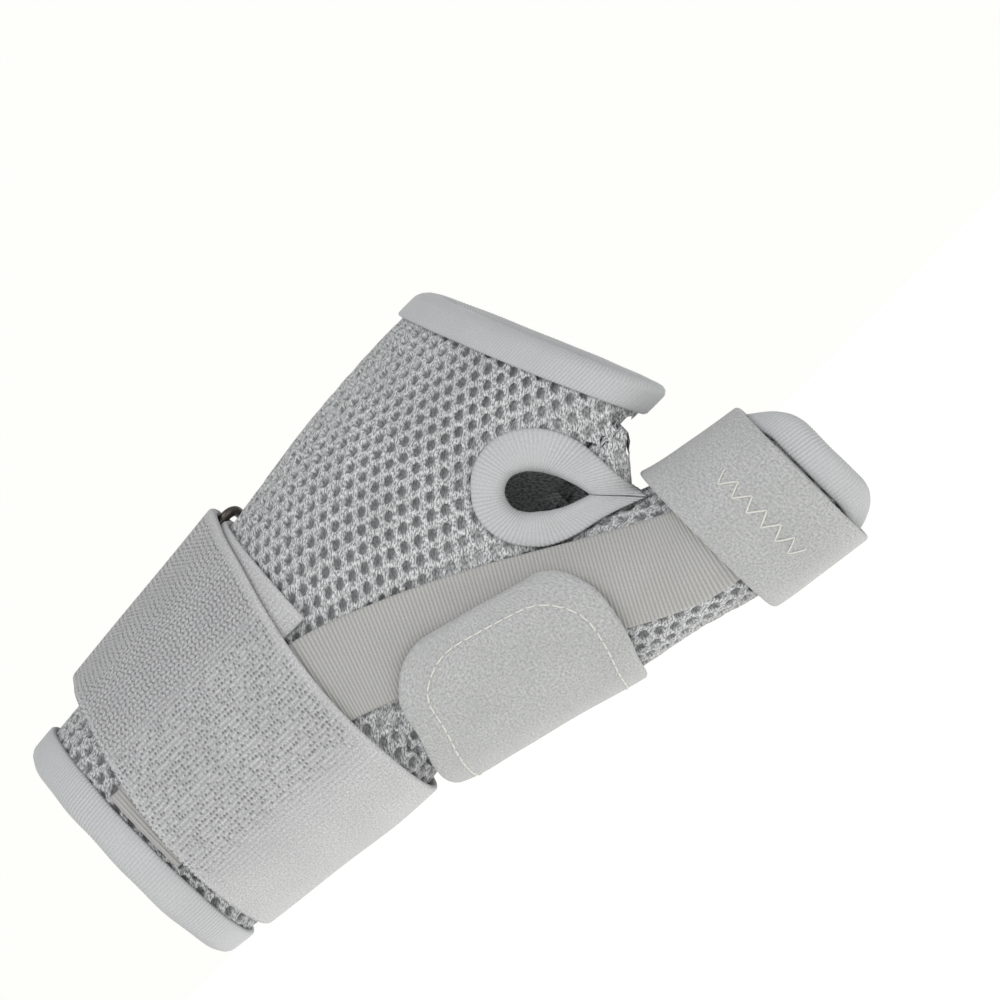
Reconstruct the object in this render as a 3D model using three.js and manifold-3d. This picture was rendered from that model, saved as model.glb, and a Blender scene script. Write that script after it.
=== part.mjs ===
import * as THREE from "three";
import { mergeVertices } from "three/addons/utils/BufferGeometryUtils.js";
import Module from "manifold-3d";

// A thumb spica splint for the left hand, in the form it takes when it is worn.
// Millimetres. The origin is the middle of the forearm opening. +X runs along the forearm
// to the fingers, +Z is the back of the hand and -Y is the thumb side.

// Sleeve
const sleeveWall = 3; // padded air mesh
const forearmWidth = 62; // outside, across the forearm opening
const forearmDepth = 54;
const palmWidth = 81; // outside, across the knuckles
const palmDepth = 34.6;
const palmReach = 158.7; // X of the palm opening at the height of the origin
const palmRimInset = 2.9; // from there back to the cloth's edge, inside its binding
const palmRimLean = 24.5; // degrees that the palm rim leans back towards the wrist
const thumbBaseWidth = 46; // outside, where the thumb leaves the palm
const thumbWidth = 33; // outside, at the end of the thumb
const thumbReach = 177.5; // X of the thumb rim at its front tab
const thumbTabLength = 7; // how far the front tab stands past the rest of the thumb rim
const thumbTabFullness = 0.85; // sine of the angle round the thumb where the tab is full
const webHeight = 40; // web between palm and thumb, at its root
const webDepth = 32;

// Teardrop hole in the web
const holeLength = 22.5;
const holeWidth = 12.5;
const holeAlong = 126.8; // X and Z of its middle
const holeRise = -7.7;
const holeTilt = -47; // degrees from +X to the direction of its tip
const holeDepth = 13; // that it is cut, which takes in the front wall alone
const holeFullness = 0.77; // largest value of the teardrop's own formula, at its widest

// Edge bindings
const bindingThickness = 1.4;
const forearmBindingWidth = 7;
const palmBindingWidth = 6.6;
const webBindingWidth = 6;
const webTailLength = 5.2; // how much wider the web binding is at the tip of the hole
const webUpperWidth = 2.2; // how much wider it is on the fingers' side of the hole
const thumbBindingWidth = 6.2;

// Stay pocket
const pocketWidth = 22;
const pocketThickness = 1.5;
const pocketStart = 8; // X of its forearm end, past the binding

// Wrist strap, its ring and the tab that holds the ring
const wristStrapWidth = 50;
const wristStrapThickness = 1.8;
const ringWire = 2.4;
const ringSlot = 8;
const ringLift = 0.4; // of the strap off the sleeve, under the ring
const ringSideGap = 1.2; // between the strap's edge and the ring's end
const ringTurn = -24; // degrees past the back of the wrist, towards the little finger
const ringBend = 6; // degrees before the bar where the strap bends up to it
const ringCorner = 1.2; // radius of the ring's corners, in diameters of its wire
const tabWidth = 38;
const tabThickness = 1.3;
const tabTurn = 34; // degrees that the tab runs on from the ring
const tabBend = [15, 5]; // degrees past the bar where its upper and lower layers bend

// Straps of the thumb
const thumbStrapThickness = 2;
const thumbStrapWidth = 26.5;
const thumbStrapInset = 6.8; // from its free edge to the thumb rim's front tab
const thumbStrapTurn = 215; // degrees round the thumb where it starts, on the palm's side
const thumbStrapOverlap = 50; // degrees that it runs on over its own start
const thumbStrapRise = [40, 6]; // degrees before its start where it rises, from and to
const baseStrapThickness = 2.2;
const baseStrapWidth = 53;
const baseStrapMiddle = 91.5; // X of its middle line
const baseStrapCorner = 11; // radius of its round end
const roundEndShares = [0, 0.08, 0.3, 0.62, 1]; // where its sections lie on that radius

// Clearances and fineness
const pieceGap = 0.3;
const ringGap = 0.5; // between the ring's wire and the cloth that turns round it
const roundHand = 40; // facets round the hand
const roundThumb = 28;
const roundWire = 8; // facets round the ring's wire
const strapStep = 9; // degrees between the sections of a strap
const stationStep = 11; // spacing of the sleeve's sections

// Hand tube. at: share of palmReach. side, rise: Y and Z of the middle, shares of palmWidth.
// flare: 0 at forearmWidth, 1 at palmWidth. flat: 0 at forearmDepth, 1 at palmDepth.
// lean: degrees that the wide way leans from +Z towards +Y.
const handRows = [
  { at: 0, side: 0, rise: 0.01, flare: 0, flat: 0, lean: 20 },
  { at: 0.19, side: 0.012, rise: 0.007, flare: 0.42, flat: -0.05, lean: 25 },
  { at: 0.378, side: 0.025, rise: 0.004, flare: 0.8, flat: -0.1, lean: 31 },
  { at: 0.523, side: 0.043, rise: 0.062, flare: 0.84, flat: -0.14, lean: 42 },
  { at: 0.63, side: 0.06, rise: 0.123, flare: 0.95, flat: 0.22, lean: 50 },
  { at: 0.756, side: 0.078, rise: 0.181, flare: 1, flat: 0.74, lean: 54 },
  { at: 0.914, side: 0.099, rise: 0.206, flare: 1, flat: 1, lean: 56 },
  { at: 1.04, side: 0.11, rise: 0.21, flare: 0.97, flat: 1.04, lean: 56 },
];

// Thumb tube. at: share of thumbReach. side, rise: shares of palmWidth.
// slim: 0 at thumbBaseWidth, 1 at thumbWidth. deep: depth as a share of the width.
const thumbRows = [
  { at: 0.338, side: -0.06, rise: -0.175, slim: 0.35, deep: 1 },
  { at: 0.37, side: -0.074, rise: -0.198, slim: 0.05, deep: 1 },
  { at: 0.451, side: -0.123, rise: -0.247, slim: 0.06, deep: 1 },
  { at: 0.535, side: -0.173, rise: -0.309, slim: 0.31, deep: 1 },
  { at: 0.631, side: -0.222, rise: -0.383, slim: 0.54, deep: 1 },
  { at: 0.721, side: -0.259, rise: -0.432, slim: 0.69, deep: 1 },
  { at: 0.823, side: -0.296, rise: -0.506, slim: 0.89, deep: 0.98 },
  { at: 0.89, side: -0.321, rise: -0.531, slim: 0.95, deep: 0.97 },
  { at: 0.958, side: -0.346, rise: -0.552, slim: 0.98, deep: 0.96 },
  { at: 1.06, side: -0.375, rise: -0.58, slim: 1, deep: 0.95 },
];

// Web between palm and thumb. at: share of palmReach. side, rise: shares of palmWidth.
// high, deep: shares of webHeight and webDepth.
const webRows = [
  { at: 0.5, side: -0.11, rise: -0.12, high: 0.9, deep: 0.95 },
  { at: 0.63, side: -0.173, rise: -0.148, high: 1, deep: 1 },
  { at: 0.756, side: -0.235, rise: -0.16, high: 0.65, deep: 0.69 },
  { at: 0.832, side: -0.278, rise: -0.175, high: 0.5, deep: 0.5 },
  { at: 0.876, side: -0.296, rise: -0.176, high: 0.39, deep: 0.4 },
  { at: 0.895, side: -0.299, rise: -0.16, high: 0.31, deep: 0.36 },
  { at: 0.914, side: -0.303, rise: -0.14, high: 0.21, deep: 0.3 },
  { at: 0.939, side: -0.309, rise: -0.117, high: 0.125, deep: 0.22 },
];

// Middle line of the stay pocket. at: share of thumbReach. rise: share of palmWidth.
// wide: share of pocketWidth.
const pocketRows = [
  { at: 0, rise: 0.035, wide: 1 },
  { at: 0.169, rise: 0.01, wide: 1 },
  { at: 0.338, rise: -0.022, wide: 1 },
  { at: 0.451, rise: -0.11, wide: 1 },
  { at: 0.563, rise: -0.23, wide: 1 },
  { at: 0.676, rise: -0.37, wide: 1 },
  { at: 0.789, rise: -0.492, wide: 0.98 },
  { at: 0.89, rise: -0.535, wide: 0.84 },
  { at: 1, rise: -0.552, wide: 0.76 },
];

// Wrist strap after the ring. turn: degrees round the wrist from the back of the hand over
// the thumb side. along: X of the middle line, share of palmReach. lift: 0 flat on the
// sleeve, 1 clear of the strap's own first layer and of the stay pocket.
const strapRows = [
  { turn: 4, along: 0.263, lift: 1 },
  { turn: 30, along: 0.254, lift: 1 },
  { turn: 55, along: 0.239, lift: 1 },
  { turn: 80, along: 0.226, lift: 1 },
  { turn: 105, along: 0.218, lift: 1 },
  { turn: 135, along: 0.22, lift: 0.45 },
  { turn: 165, along: 0.224, lift: 0 },
  { turn: 200, along: 0.228, lift: 0 },
  { turn: 240, along: 0.237, lift: 0 },
  { turn: 277, along: 0.251, lift: 0 },
];
const firstLayerTurn = 62; // where the strap starts, beside the stay pocket
const firstLayerSlant = 10; // degrees that its start runs on at the hand's side
const firstLayerSquare = 25; // turn from which its rows are square to the ring
const firstLayerAlong = 0.271;

// Strap over the base of the thumb. turn: degrees, as above, about the palm's middle.
// left, right: half widths, shares of baseStrapWidth. twist: degrees that the row swings
// from its left edge to its right one. lift: 1 clear of the stay pocket, 0 on the sleeve.
const baseStrapRows = [
  { turn: 90, left: 0.33, right: 0.56, twist: 6.4, lift: 1.15 },
  { turn: 99, left: 0.355, right: 0.55, twist: 10.5, lift: 1.15 },
  { turn: 109, left: 0.411, right: 0.535, twist: 10.5, lift: 1.15 },
  { turn: 121, left: 0.445, right: 0.505, twist: 8, lift: 1.1 },
  { turn: 138, left: 0.504, right: 0.45, twist: 3.5, lift: 0.55 },
  { turn: 156, left: 0.523, right: 0.42, twist: 0, lift: 0.1 },
  { turn: 178, left: 0.5, right: 0.38, twist: -2, lift: 0 },
  { turn: 202, left: 0.47, right: 0.34, twist: -3, lift: 0 },
  { turn: 228, left: 0.44, right: 0.31, twist: -3, lift: 0 },
];

const wasm = await Module();
wasm.setup();

const radians = THREE.MathUtils.degToRad;
const mix = THREE.MathUtils.lerp;

// A smooth curve through a table: gives the columns at any value of the first one.
function throughRows(rows, columns, scale = 1) {
  const places = rows.map((row) => row[columns[0]] * scale);
  const rest = columns.slice(1);
  const values = rows.flatMap((row) => rest.map((name) => row[name]));
  const spline = new THREE.CubicInterpolant(places, values, rest.length);
  return (at) => {
    const found = spline.evaluate(THREE.MathUtils.clamp(at, places[0], places.at(-1)));
    return Object.fromEntries(rest.map((name, i) => [name, found[i]]));
  };
}

const handAt = throughRows(handRows, ["at", "side", "rise", "flare", "flat", "lean"], palmReach);
const thumbAt = throughRows(thumbRows, ["at", "side", "rise", "slim", "deep"], thumbReach);
const webAt = throughRows(webRows, ["at", "side", "rise", "high", "deep"], palmReach);

// The three tubes that the sleeve is made of. Each gives its elliptic section at an X:
// its middle, its half sizes and the lean of its wide way.
const hand = (x) => {
  const row = handAt(x);
  return {
    y: row.side * palmWidth,
    z: row.rise * palmWidth,
    wide: mix(forearmWidth, palmWidth, row.flare) / 2,
    deep: mix(forearmDepth, palmDepth, row.flat) / 2,
    lean: radians(row.lean),
  };
};
const thumb = (x) => {
  const row = thumbAt(x);
  const wide = mix(thumbBaseWidth, thumbWidth, row.slim) / 2;
  return {
    y: row.side * palmWidth,
    z: row.rise * palmWidth,
    wide,
    deep: wide * row.deep,
    lean: 0,
  };
};
const web = (x) => {
  const row = webAt(x);
  return {
    y: row.side * palmWidth,
    z: row.rise * palmWidth,
    wide: (row.high * webHeight) / 2,
    deep: (row.deep * webDepth) / 2,
    lean: 0,
  };
};
hand.from = 0;
hand.to = handRows.at(-1).at * palmReach;
thumb.from = thumbRows[0].at * thumbReach;
thumb.to = thumbRows.at(-1).at * thumbReach;
web.from = webRows[0].at * palmReach;
web.to = webRows.at(-1).at * palmReach;

// A point on a tube: round is the angle from the section's far end of its wide way, grow
// the height above the sleeve's outside.
function onTube(tube, x, round, grow) {
  const s = tube(x);
  const wide = Math.max(s.wide + grow, pieceGap) * Math.cos(round);
  const deep = Math.max(s.deep + grow, pieceGap) * Math.sin(round);
  const y = s.y + wide * Math.sin(s.lean) - deep * Math.cos(s.lean);
  const z = s.z + wide * Math.cos(s.lean) + deep * Math.sin(s.lean);
  return new THREE.Vector3(x, y, z);
}

// Where a line in the plane of a section enters and leaves it, as distances along the line.
// clear is above 0 where the line passes the section by.
function crossings(section, grow, y, z, dy, dz) {
  const sin = Math.sin(section.lean);
  const cos = Math.cos(section.lean);
  const wide = section.wide + grow;
  const deep = section.deep + grow;
  const across = (v, w) => [(v * sin + w * cos) / wide, (w * sin - v * cos) / deep];
  const [p, q] = across(y - section.y, z - section.z);
  const [dp, dq] = across(dy, dz);
  const a = dp * dp + dq * dq;
  const b = (p * dp + q * dq) / a;
  const inside = b * b - (p * p + q * q - 1) / a;
  const half = Math.sqrt(Math.max(0, inside));
  return { near: -b - half, out: -b + half, clear: -inside };
}

const tubesAt = (x, tubes) => tubes.filter((tube) => x >= tube.from && x <= tube.to);
const wholeSleeve = [hand, thumb, web];

// A point above the sleeve, straight out from a line inside it. turn: 0 at the back of the
// hand, 90 degrees at the thumb side.
function outFrom(tubes, middle, x, turn, grow) {
  const dy = -Math.sin(turn);
  const dz = Math.cos(turn);
  const reaches = tubesAt(x, tubes)
    .map((tube) => crossings(tube(x), grow, middle.y, middle.z, dy, dz))
    .filter(({ clear }) => clear < 0);
  const reach = Math.max(...reaches.map(({ out }) => out));
  return new THREE.Vector3(x, middle.y + dy * reach, middle.z + dz * reach);
}

// A point above the thumb side of the sleeve, straight out in -Y from a place in X and Z.
function onThumbSide(x, z, grow) {
  const found = tubesAt(x, wholeSleeve).map((tube) => crossings(tube(x), grow, 0, z, 1, 0));
  const least = Math.max(0, Math.min(...found.map(({ clear }) => clear)));
  const places = found.filter(({ clear }) => clear <= least);
  return new THREE.Vector3(x, Math.min(...places.map(({ near }) => near)), z);
}

// Joins loops of points, each loop as long as the next, into one closed surface. The loops
// run on into the first one again when ring is set, and else each end is closed.
function loft(loops, ring = false) {
  const count = loops[0].length;
  const faces = [];
  const quad = (a, b, c, d) => faces.push(a, b, c, a, c, d);
  const spans = ring ? loops.length : loops.length - 1;
  for (let i = 0; i < spans; i++) {
    const next = ((i + 1) % loops.length) * count;
    for (let j = 0; j < count; j++) {
      const side = (j + 1) % count;
      quad(i * count + j, i * count + side, next + side, next + j);
    }
  }
  if (!ring) {
    const last = (loops.length - 1) * count;
    for (let j = 0; j < count / 2 - 1; j++) {
      const back = count - 1 - j;
      quad(j, back, back - 1, j + 1);
      quad(last + j, last + j + 1, last + back - 1, last + back);
    }
  }
  const geometry = new THREE.BufferGeometry().setFromPoints(loops.flat());
  geometry.setIndex(faces);
  return facingOut(geometry);
}

// Turns a closed surface so that its faces point out.
function facingOut(geometry) {
  const place = geometry.getAttribute("position");
  const index = geometry.getIndex();
  const corner = [0, 1, 2].map(() => new THREE.Vector3());
  let volume = 0;
  for (let i = 0; i < index.count; i += 3) {
    corner.forEach((v, k) => v.fromBufferAttribute(place, index.getX(i + k)));
    volume += corner[0].dot(corner[1].cross(corner[2]));
  }
  if (volume < 0) index.array.reverse();
  return geometry;
}

function toSolid(geometry) {
  const bare = geometry.clone();
  bare.deleteAttribute("normal");
  bare.deleteAttribute("uv");
  const merged = mergeVertices(bare, 1e-4);
  const mesh = new wasm.Mesh({
    numProp: 3,
    vertProperties: new Float32Array(merged.getAttribute("position").array),
    triVerts: new Uint32Array(merged.getIndex().array),
  });
  return new wasm.Manifold(mesh);
}

function toGeometry(solid) {
  const mesh = solid.getMesh();
  const geometry = new THREE.BufferGeometry();
  const place = new THREE.BufferAttribute(new Float32Array(mesh.vertProperties), 3);
  geometry.setAttribute("position", place);
  geometry.setIndex(new THREE.BufferAttribute(new Uint32Array(mesh.triVerts), 1));
  return geometry;
}

function range(from, to, step) {
  const count = Math.max(1, Math.ceil(Math.abs(to - from) / step));
  return Array.from({ length: count + 1 }, (_, i) => mix(from, to, i / count));
}

const aroundBy = (count) => Array.from({ length: count }, (_, i) => (i / count) * 2 * Math.PI);

// A filled length of a tube, to join or cut with.
function tubeBody(tube, from, to, count, grow) {
  const loops = range(from, to, stationStep).map((x) =>
    aroundBy(count).map((round) => onTube(tube, x, round, grow)),
  );
  return toSolid(loft(loops));
}

// Rims. Each gives the X of the cloth's edge at an angle round its tube and a height above
// the sleeve's outside.
const forearmRim = () => 0;

const palmEdge = palmReach - palmRimInset; // at the height of the origin

function palmRim(round, grow) {
  const back = Math.tan(radians(palmRimLean));
  let x = palmEdge;
  for (let i = 0; i < 8; i++) x = palmEdge - back * onTube(hand, x, round, grow).z;
  return x;
}

function thumbRim(round) {
  const tab = THREE.MathUtils.smoothstep(Math.sin(round), 0, thumbTabFullness);
  return thumbReach - thumbTabLength * (1 - tab);
}

// A ring of cloth along a rim. profile: pairs of the distance in from the rim and the height
// above the sleeve's outside. inward: 1 where the cloth lies on the +X side of the rim.
function alongRim(tube, rim, inward, count, profile) {
  const loops = aroundBy(count).map((round) =>
    profile.map(([within, grow]) => onTube(tube, rim(round, grow) + inward * within, round, grow)),
  );
  return loft(loops, true);
}

// Tape folded round the edge of the cloth: its section, with a point at each share of its
// width. The first half lies outside the cloth, the second half inside it.
function foldedProfile(width, shares = [0, 1]) {
  const top = pieceGap + bindingThickness;
  const under = -sleeveWall - pieceGap;
  const outer = shares.map((share) => mix(-top, width, share));
  const inner = shares.map((share) => mix(width, -pieceGap, share));
  return [
    ...outer.map((place) => [place, top]),
    ...inner.map((place) => [place, pieceGap]),
    ...inner.toReversed().map((place) => [place, under]),
    ...outer.toReversed().map((place) => [place, under - bindingThickness]),
  ];
}

const rimBinding = (tube, rim, inward, count, width) =>
  alongRim(tube, rim, inward, count, foldedProfile(width));

// The teardrop hole's edge in X and Z, and the direction out from its middle.
// around: 0 at the tip.
function holeEdge(around, outwards = 0) {
  const along = (holeLength / 2) * Math.cos(around);
  const across = (holeWidth / 2 / holeFullness) * Math.sin(around) * Math.sin(around / 2);
  const tilt = radians(holeTilt);
  const edge = new THREE.Vector2(along, across);
  const middle = new THREE.Vector2(-holeLength / 8, 0);
  const out = edge.clone().sub(middle).normalize();
  edge.addScaledVector(out, outwards).rotateAround(new THREE.Vector2(), tilt);
  return edge.add(new THREE.Vector2(holeAlong, holeRise));
}

function meshSleeve() {
  const past = 12;
  const whole = (grow, start) => {
    const palm = tubeBody(hand, start, hand.to + past / 2, roundHand, grow);
    const finger = tubeBody(thumb, thumb.from, thumb.to, roundThumb, grow);
    const between = tubeBody(web, web.from, web.to, roundThumb / 2, grow);
    return palm.add(finger).add(between);
  };
  const beyond = new THREE.BoxGeometry(4 * past, 2 * palmWidth, 3 * palmWidth);
  beyond.translate(2 * past, 0, 0);
  beyond.rotateY(-radians(palmRimLean));
  beyond.translate(palmEdge, 0, 0);
  const thumbSideOnly = new THREE.BoxGeometry(4 * past, 4 * palmWidth, palmWidth);
  thumbSideOnly.translate(palmEdge, 0, onTube(thumb, palmEdge, 0, past / 2).z - palmWidth / 2);
  const palmEnd = toSolid(beyond).subtract(toSolid(thumbSideOnly));
  const thumbEnd = alongRim(thumb, thumbRim, 1, roundThumb, [
    [0, past / 2],
    [2 * past, past / 2],
    [2 * past, -sleeveWall - past / 2],
    [0, -sleeveWall - past / 2],
    [0, -sleeveWall - pieceGap],
    [0, pieceGap],
  ]);
  const drop = new THREE.Shape(aroundBy(roundThumb).map((around) => holeEdge(around)));
  const throughHole = new THREE.ExtrudeGeometry(drop, { depth: palmWidth, bevelEnabled: false });
  throughHole.rotateX(Math.PI / 2);
  throughHole.translate(0, onThumbSide(holeAlong, holeRise, 0).y + holeDepth, 0);
  return toGeometry(
    whole(0, 0)
      .subtract(whole(-sleeveWall, -past))
      .subtract(palmEnd)
      .subtract(toSolid(thumbEnd))
      .subtract(toSolid(throughHole)),
  );
}

function webBinding() {
  const shares = [0, 0.25, 0.5, 0.75, 1];
  const loops = aroundBy(roundHand).map((around) => {
    const tail = webTailLength * Math.max(0, Math.cos(around)) ** 4;
    const width = webBindingWidth + tail + webUpperWidth * Math.max(0, Math.sin(around));
    return foldedProfile(width, shares).map(([outwards, grow]) => {
      const place = holeEdge(around, outwards);
      return onThumbSide(place.x, place.y, grow);
    });
  });
  return loft(loops, true);
}

// A strip of cloth: one loop of points for each step along it, over and under its thickness.
// place: gives a point for a step along, a share across and the two faces.
function strip(steps, across, place) {
  const shares = range(0, 1, 1 / across);
  const loops = steps.map((step, i) => [
    ...shares.map((share) => place(step, share, 1, i)),
    ...shares.toReversed().map((share) => place(step, share, 0, i)),
  ]);
  return loft(loops);
}

function stayPocket() {
  const lineAt = throughRows(pocketRows, ["at", "rise", "wide"], thumbReach);
  const end = thumbReach - thumbBindingWidth - pieceGap;
  const bottom = pieceGap;
  const top = bottom + pocketThickness;
  const reach = stationStep / 2;
  return strip(range(pocketStart, end, 0.7 * stationStep), 7, (x, share, face) => {
    const row = lineAt(x);
    const rise = (lineAt(x + reach).rise - lineAt(x - reach).rise) * palmWidth;
    const slope = Math.min(0, Math.atan2(rise, 2 * reach));
    const off = (share - 0.5) * pocketWidth * row.wide;
    const lastSquare = THREE.MathUtils.smoothstep(x, end - 3 * stationStep, end - stationStep);
    const firstSquare = 1 - THREE.MathUtils.smoothstep(x, pocketStart, pocketStart + stationStep);
    const skew = Math.sin(slope) * (1 - Math.max(lastSquare, firstSquare));
    const z = row.rise * palmWidth + off * Math.cos(slope);
    return onThumbSide(x - off * skew, z, face ? top : bottom);
  });
}

// A strip that goes round a tube. path: steps with the X of their middle and a place, which
// gives the point at an X and a share of the thickness.
function wrap(path, width, across) {
  return strip(path, across, (step, share, face) => {
    return step.place(step.x + (share - 0.5) * width, face);
  });
}

// A step of a strip that lies over a tube at a turn. height: of its lower face.
const layStep = (tubes, middle, x, turn, height, thickness) => ({
  x,
  place: (at, face) => outFrom(tubes, middle(at), at, turn, height + face * thickness),
});

// The flat ring's own frame: the middles of its two bars, the way that they run, the way from
// the far bar to the near one, and the way out from the wrist.
const ringMiddle = firstLayerAlong * palmReach;
const barHeight = ringLift + wristStrapThickness + ringGap + ringWire / 2;
const barSpacing = ringSlot + ringWire;
const nearBarTurn = radians(ringTurn);
const overWrist = (x, turn) => outFrom([hand], hand(x), x, turn, barHeight);
const nearBar = overWrist(ringMiddle, nearBarTurn);
let farBarTurn = nearBarTurn - barSpacing / forearmDepth;
for (let i = 0; i < 8; i++) {
  const spacing = nearBar.distanceTo(overWrist(ringMiddle, farBarTurn));
  farBarTurn = nearBarTurn - ((nearBarTurn - farBarTurn) * barSpacing) / spacing;
}
const farBar = overWrist(ringMiddle, farBarTurn);
const barWay = overWrist(ringMiddle + wristStrapWidth / 2, (nearBarTurn + farBarTurn) / 2)
  .sub(overWrist(ringMiddle - wristStrapWidth / 2, (nearBarTurn + farBarTurn) / 2))
  .normalize();
const acrossRing = nearBar.clone().sub(farBar);
acrossRing.addScaledVector(barWay, -acrossRing.dot(barWay)).normalize();
const outOfRing = barWay.clone().cross(acrossRing).negate();

// Half a turn of cloth round a bar of the ring, as steps of a strip. way: -1 round the side
// away from the thumb. The thickness lies outside.
function halfTurn(bar, way, thickness) {
  return range(-90, 90, 30).map((angle) => ({
    x: ringMiddle,
    place: (at, face) => {
      const radius = ringWire / 2 + ringGap + face * thickness;
      const a = radians(angle);
      return bar
        .clone()
        .addScaledVector(barWay, (at - bar.x) / barWay.x)
        .addScaledVector(acrossRing, way * radius * Math.cos(a))
        .addScaledVector(outOfRing, radius * Math.sin(a));
    },
  }));
}

function wristStrap() {
  const rowAt = throughRows(strapRows, ["turn", "along", "lift"]);
  const thick = wristStrapThickness;
  const top = pieceGap + thick;
  const first = range(firstLayerTurn, ringTurn + ringBend, strapStep).map((turn) => {
    const slant = THREE.MathUtils.smoothstep(turn, firstLayerSquare, firstLayerTurn);
    const place = (at, face) => {
      const handSide = 0.5 + (at - ringMiddle) / wristStrapWidth;
      const turned = turn + firstLayerSlant * slant * handSide ** 2;
      return outFrom(wholeSleeve, hand(at), at, radians(turned), top - face * thick);
    };
    return { x: ringMiddle, place };
  });
  const back = range(strapRows[0].turn, strapRows.at(-1).turn, strapStep).map((turn) => {
    const row = rowAt(turn);
    const height = pieceGap + Math.max(0, row.lift) * (thick + pieceGap);
    return layStep(wholeSleeve, hand, row.along * palmReach, radians(turn), height, thick);
  });
  return wrap([...first, ...halfTurn(nearBar, -1, thick), ...back], wristStrapWidth, 5);
}

function ringTab() {
  const thick = tabThickness;
  const end = farBarTurn - radians(tabTurn);
  const [bendOver, bendUnder] = tabBend.map((turn) => farBarTurn - radians(turn));
  const over = range(end, bendOver, radians(strapStep)).map((turn) => {
    return layStep([hand], hand, ringMiddle, turn, 2 * pieceGap + thick, thick);
  });
  const under = range(end, bendUnder, radians(strapStep)).map((turn) => {
    return layStep([hand], hand, ringMiddle, turn, pieceGap + thick, -thick);
  });
  const round = halfTurn(farBar, 1, thick).toReversed();
  return wrap([...over, ...round, ...under.toReversed()], tabWidth, 3);
}

// The ring: round wire along a rounded rectangle.
function strapRing() {
  const halfLength = wristStrapWidth / 2 / barWay.x + ringSideGap + ringWire / 2;
  const halfHeight = barSpacing / 2;
  const corner = ringCorner * ringWire;
  const outline = new THREE.Path();
  outline.absarc(halfLength - corner, corner - halfHeight, corner, -Math.PI / 2, 0);
  outline.absarc(halfLength - corner, halfHeight - corner, corner, 0, Math.PI / 2);
  outline.absarc(corner - halfLength, halfHeight - corner, corner, Math.PI / 2, Math.PI);
  outline.absarc(corner - halfLength, corner - halfHeight, corner, Math.PI, 1.5 * Math.PI);
  outline.closePath();
  const middle = nearBar.clone().add(farBar).multiplyScalar(0.5);
  const spine = outline.getPoints(3).slice(0, -1);
  const loops = spine.map((p, i) => {
    const before = spine[(i + spine.length - 1) % spine.length];
    const after = spine[(i + 1) % spine.length];
    const way = after.clone().sub(before).normalize();
    const away = barWay.clone().multiplyScalar(way.y).addScaledVector(acrossRing, -way.x);
    const centre = middle.clone().addScaledVector(barWay, p.x).addScaledVector(acrossRing, p.y);
    return aroundBy(roundWire).map((round) =>
      centre
        .clone()
        .addScaledVector(away, (ringWire / 2) * Math.cos(round))
        .addScaledVector(outOfRing, (ringWire / 2) * Math.sin(round)),
    );
  });
  return loft(loops, true);
}

// The middle of the palm, which the strap over the base of the thumb goes round.
const palmMiddle = (x) => {
  const a = hand(x);
  const b = thumb(x);
  return { y: (a.y + b.y) / 2, z: (a.z + 2 * b.z) / 3 };
};

function thumbBaseStrap() {
  const rowAt = throughRows(baseStrapRows, ["turn", "left", "right", "twist", "lift"]);
  const reach = (palmWidth + thumbBaseWidth) / 4;
  const first = baseStrapRows[0].turn;
  const roundEnd = roundEndShares.map((share) => {
    return first + THREE.MathUtils.radToDeg((share * baseStrapCorner) / reach);
  });
  const rest = range(roundEnd.at(-1), baseStrapRows.at(-1).turn, strapStep).slice(1);
  return strip([...roundEnd, ...rest], 7, (turn, share, face) => {
    const row = rowAt(turn);
    const fromEnd = Math.min(baseStrapCorner, radians(turn - first) * reach);
    const short = baseStrapCorner - fromEnd;
    const inset = baseStrapCorner - Math.sqrt(baseStrapCorner ** 2 - short ** 2);
    const left = -row.left * baseStrapWidth + inset;
    const right = row.right * baseStrapWidth - inset;
    const x = baseStrapMiddle + mix(left, right, share);
    const overPocket = Math.max(0, row.lift) * (pocketThickness + pieceGap);
    const height = pieceGap + overPocket + face * baseStrapThickness;
    const turned = radians(turn + (share - 0.5) * row.twist);
    return outFrom(wholeSleeve, palmMiddle(x), x, turned, height);
  });
}

function thumbStrap() {
  const overPocket = pieceGap + pocketThickness + pieceGap;
  const again = thumbStrapTurn + 360;
  const middle = thumbReach - thumbStrapInset - thumbStrapWidth / 2;
  const [riseFrom, riseTo] = thumbStrapRise;
  const path = range(thumbStrapTurn, again + thumbStrapOverlap, 1.4 * strapStep).map((turn) => {
    const over = THREE.MathUtils.smoothstep(turn, again - riseFrom, again - riseTo);
    const height = overPocket + over * (thumbStrapThickness + pieceGap);
    return layStep([thumb], thumb, middle, radians(turn), height, thumbStrapThickness);
  });
  return wrap(path, thumbStrapWidth, 3);
}

const mesh = { color: 0xb9b9bb, roughness: 0.95, metalness: 0 };
const binding = { color: 0xcfcfd1, roughness: 0.9, metalness: 0 };
const tape = { color: 0xb6b4b3, roughness: 0.9, metalness: 0 };
const elastic = { color: 0xc6c6c8, roughness: 0.9, metalness: 0 };
const brushed = { color: 0xb8b8ba, roughness: 1, metalness: 0 };
const steel = { color: 0x5a5552, roughness: 0.35, metalness: 1 };

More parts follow.
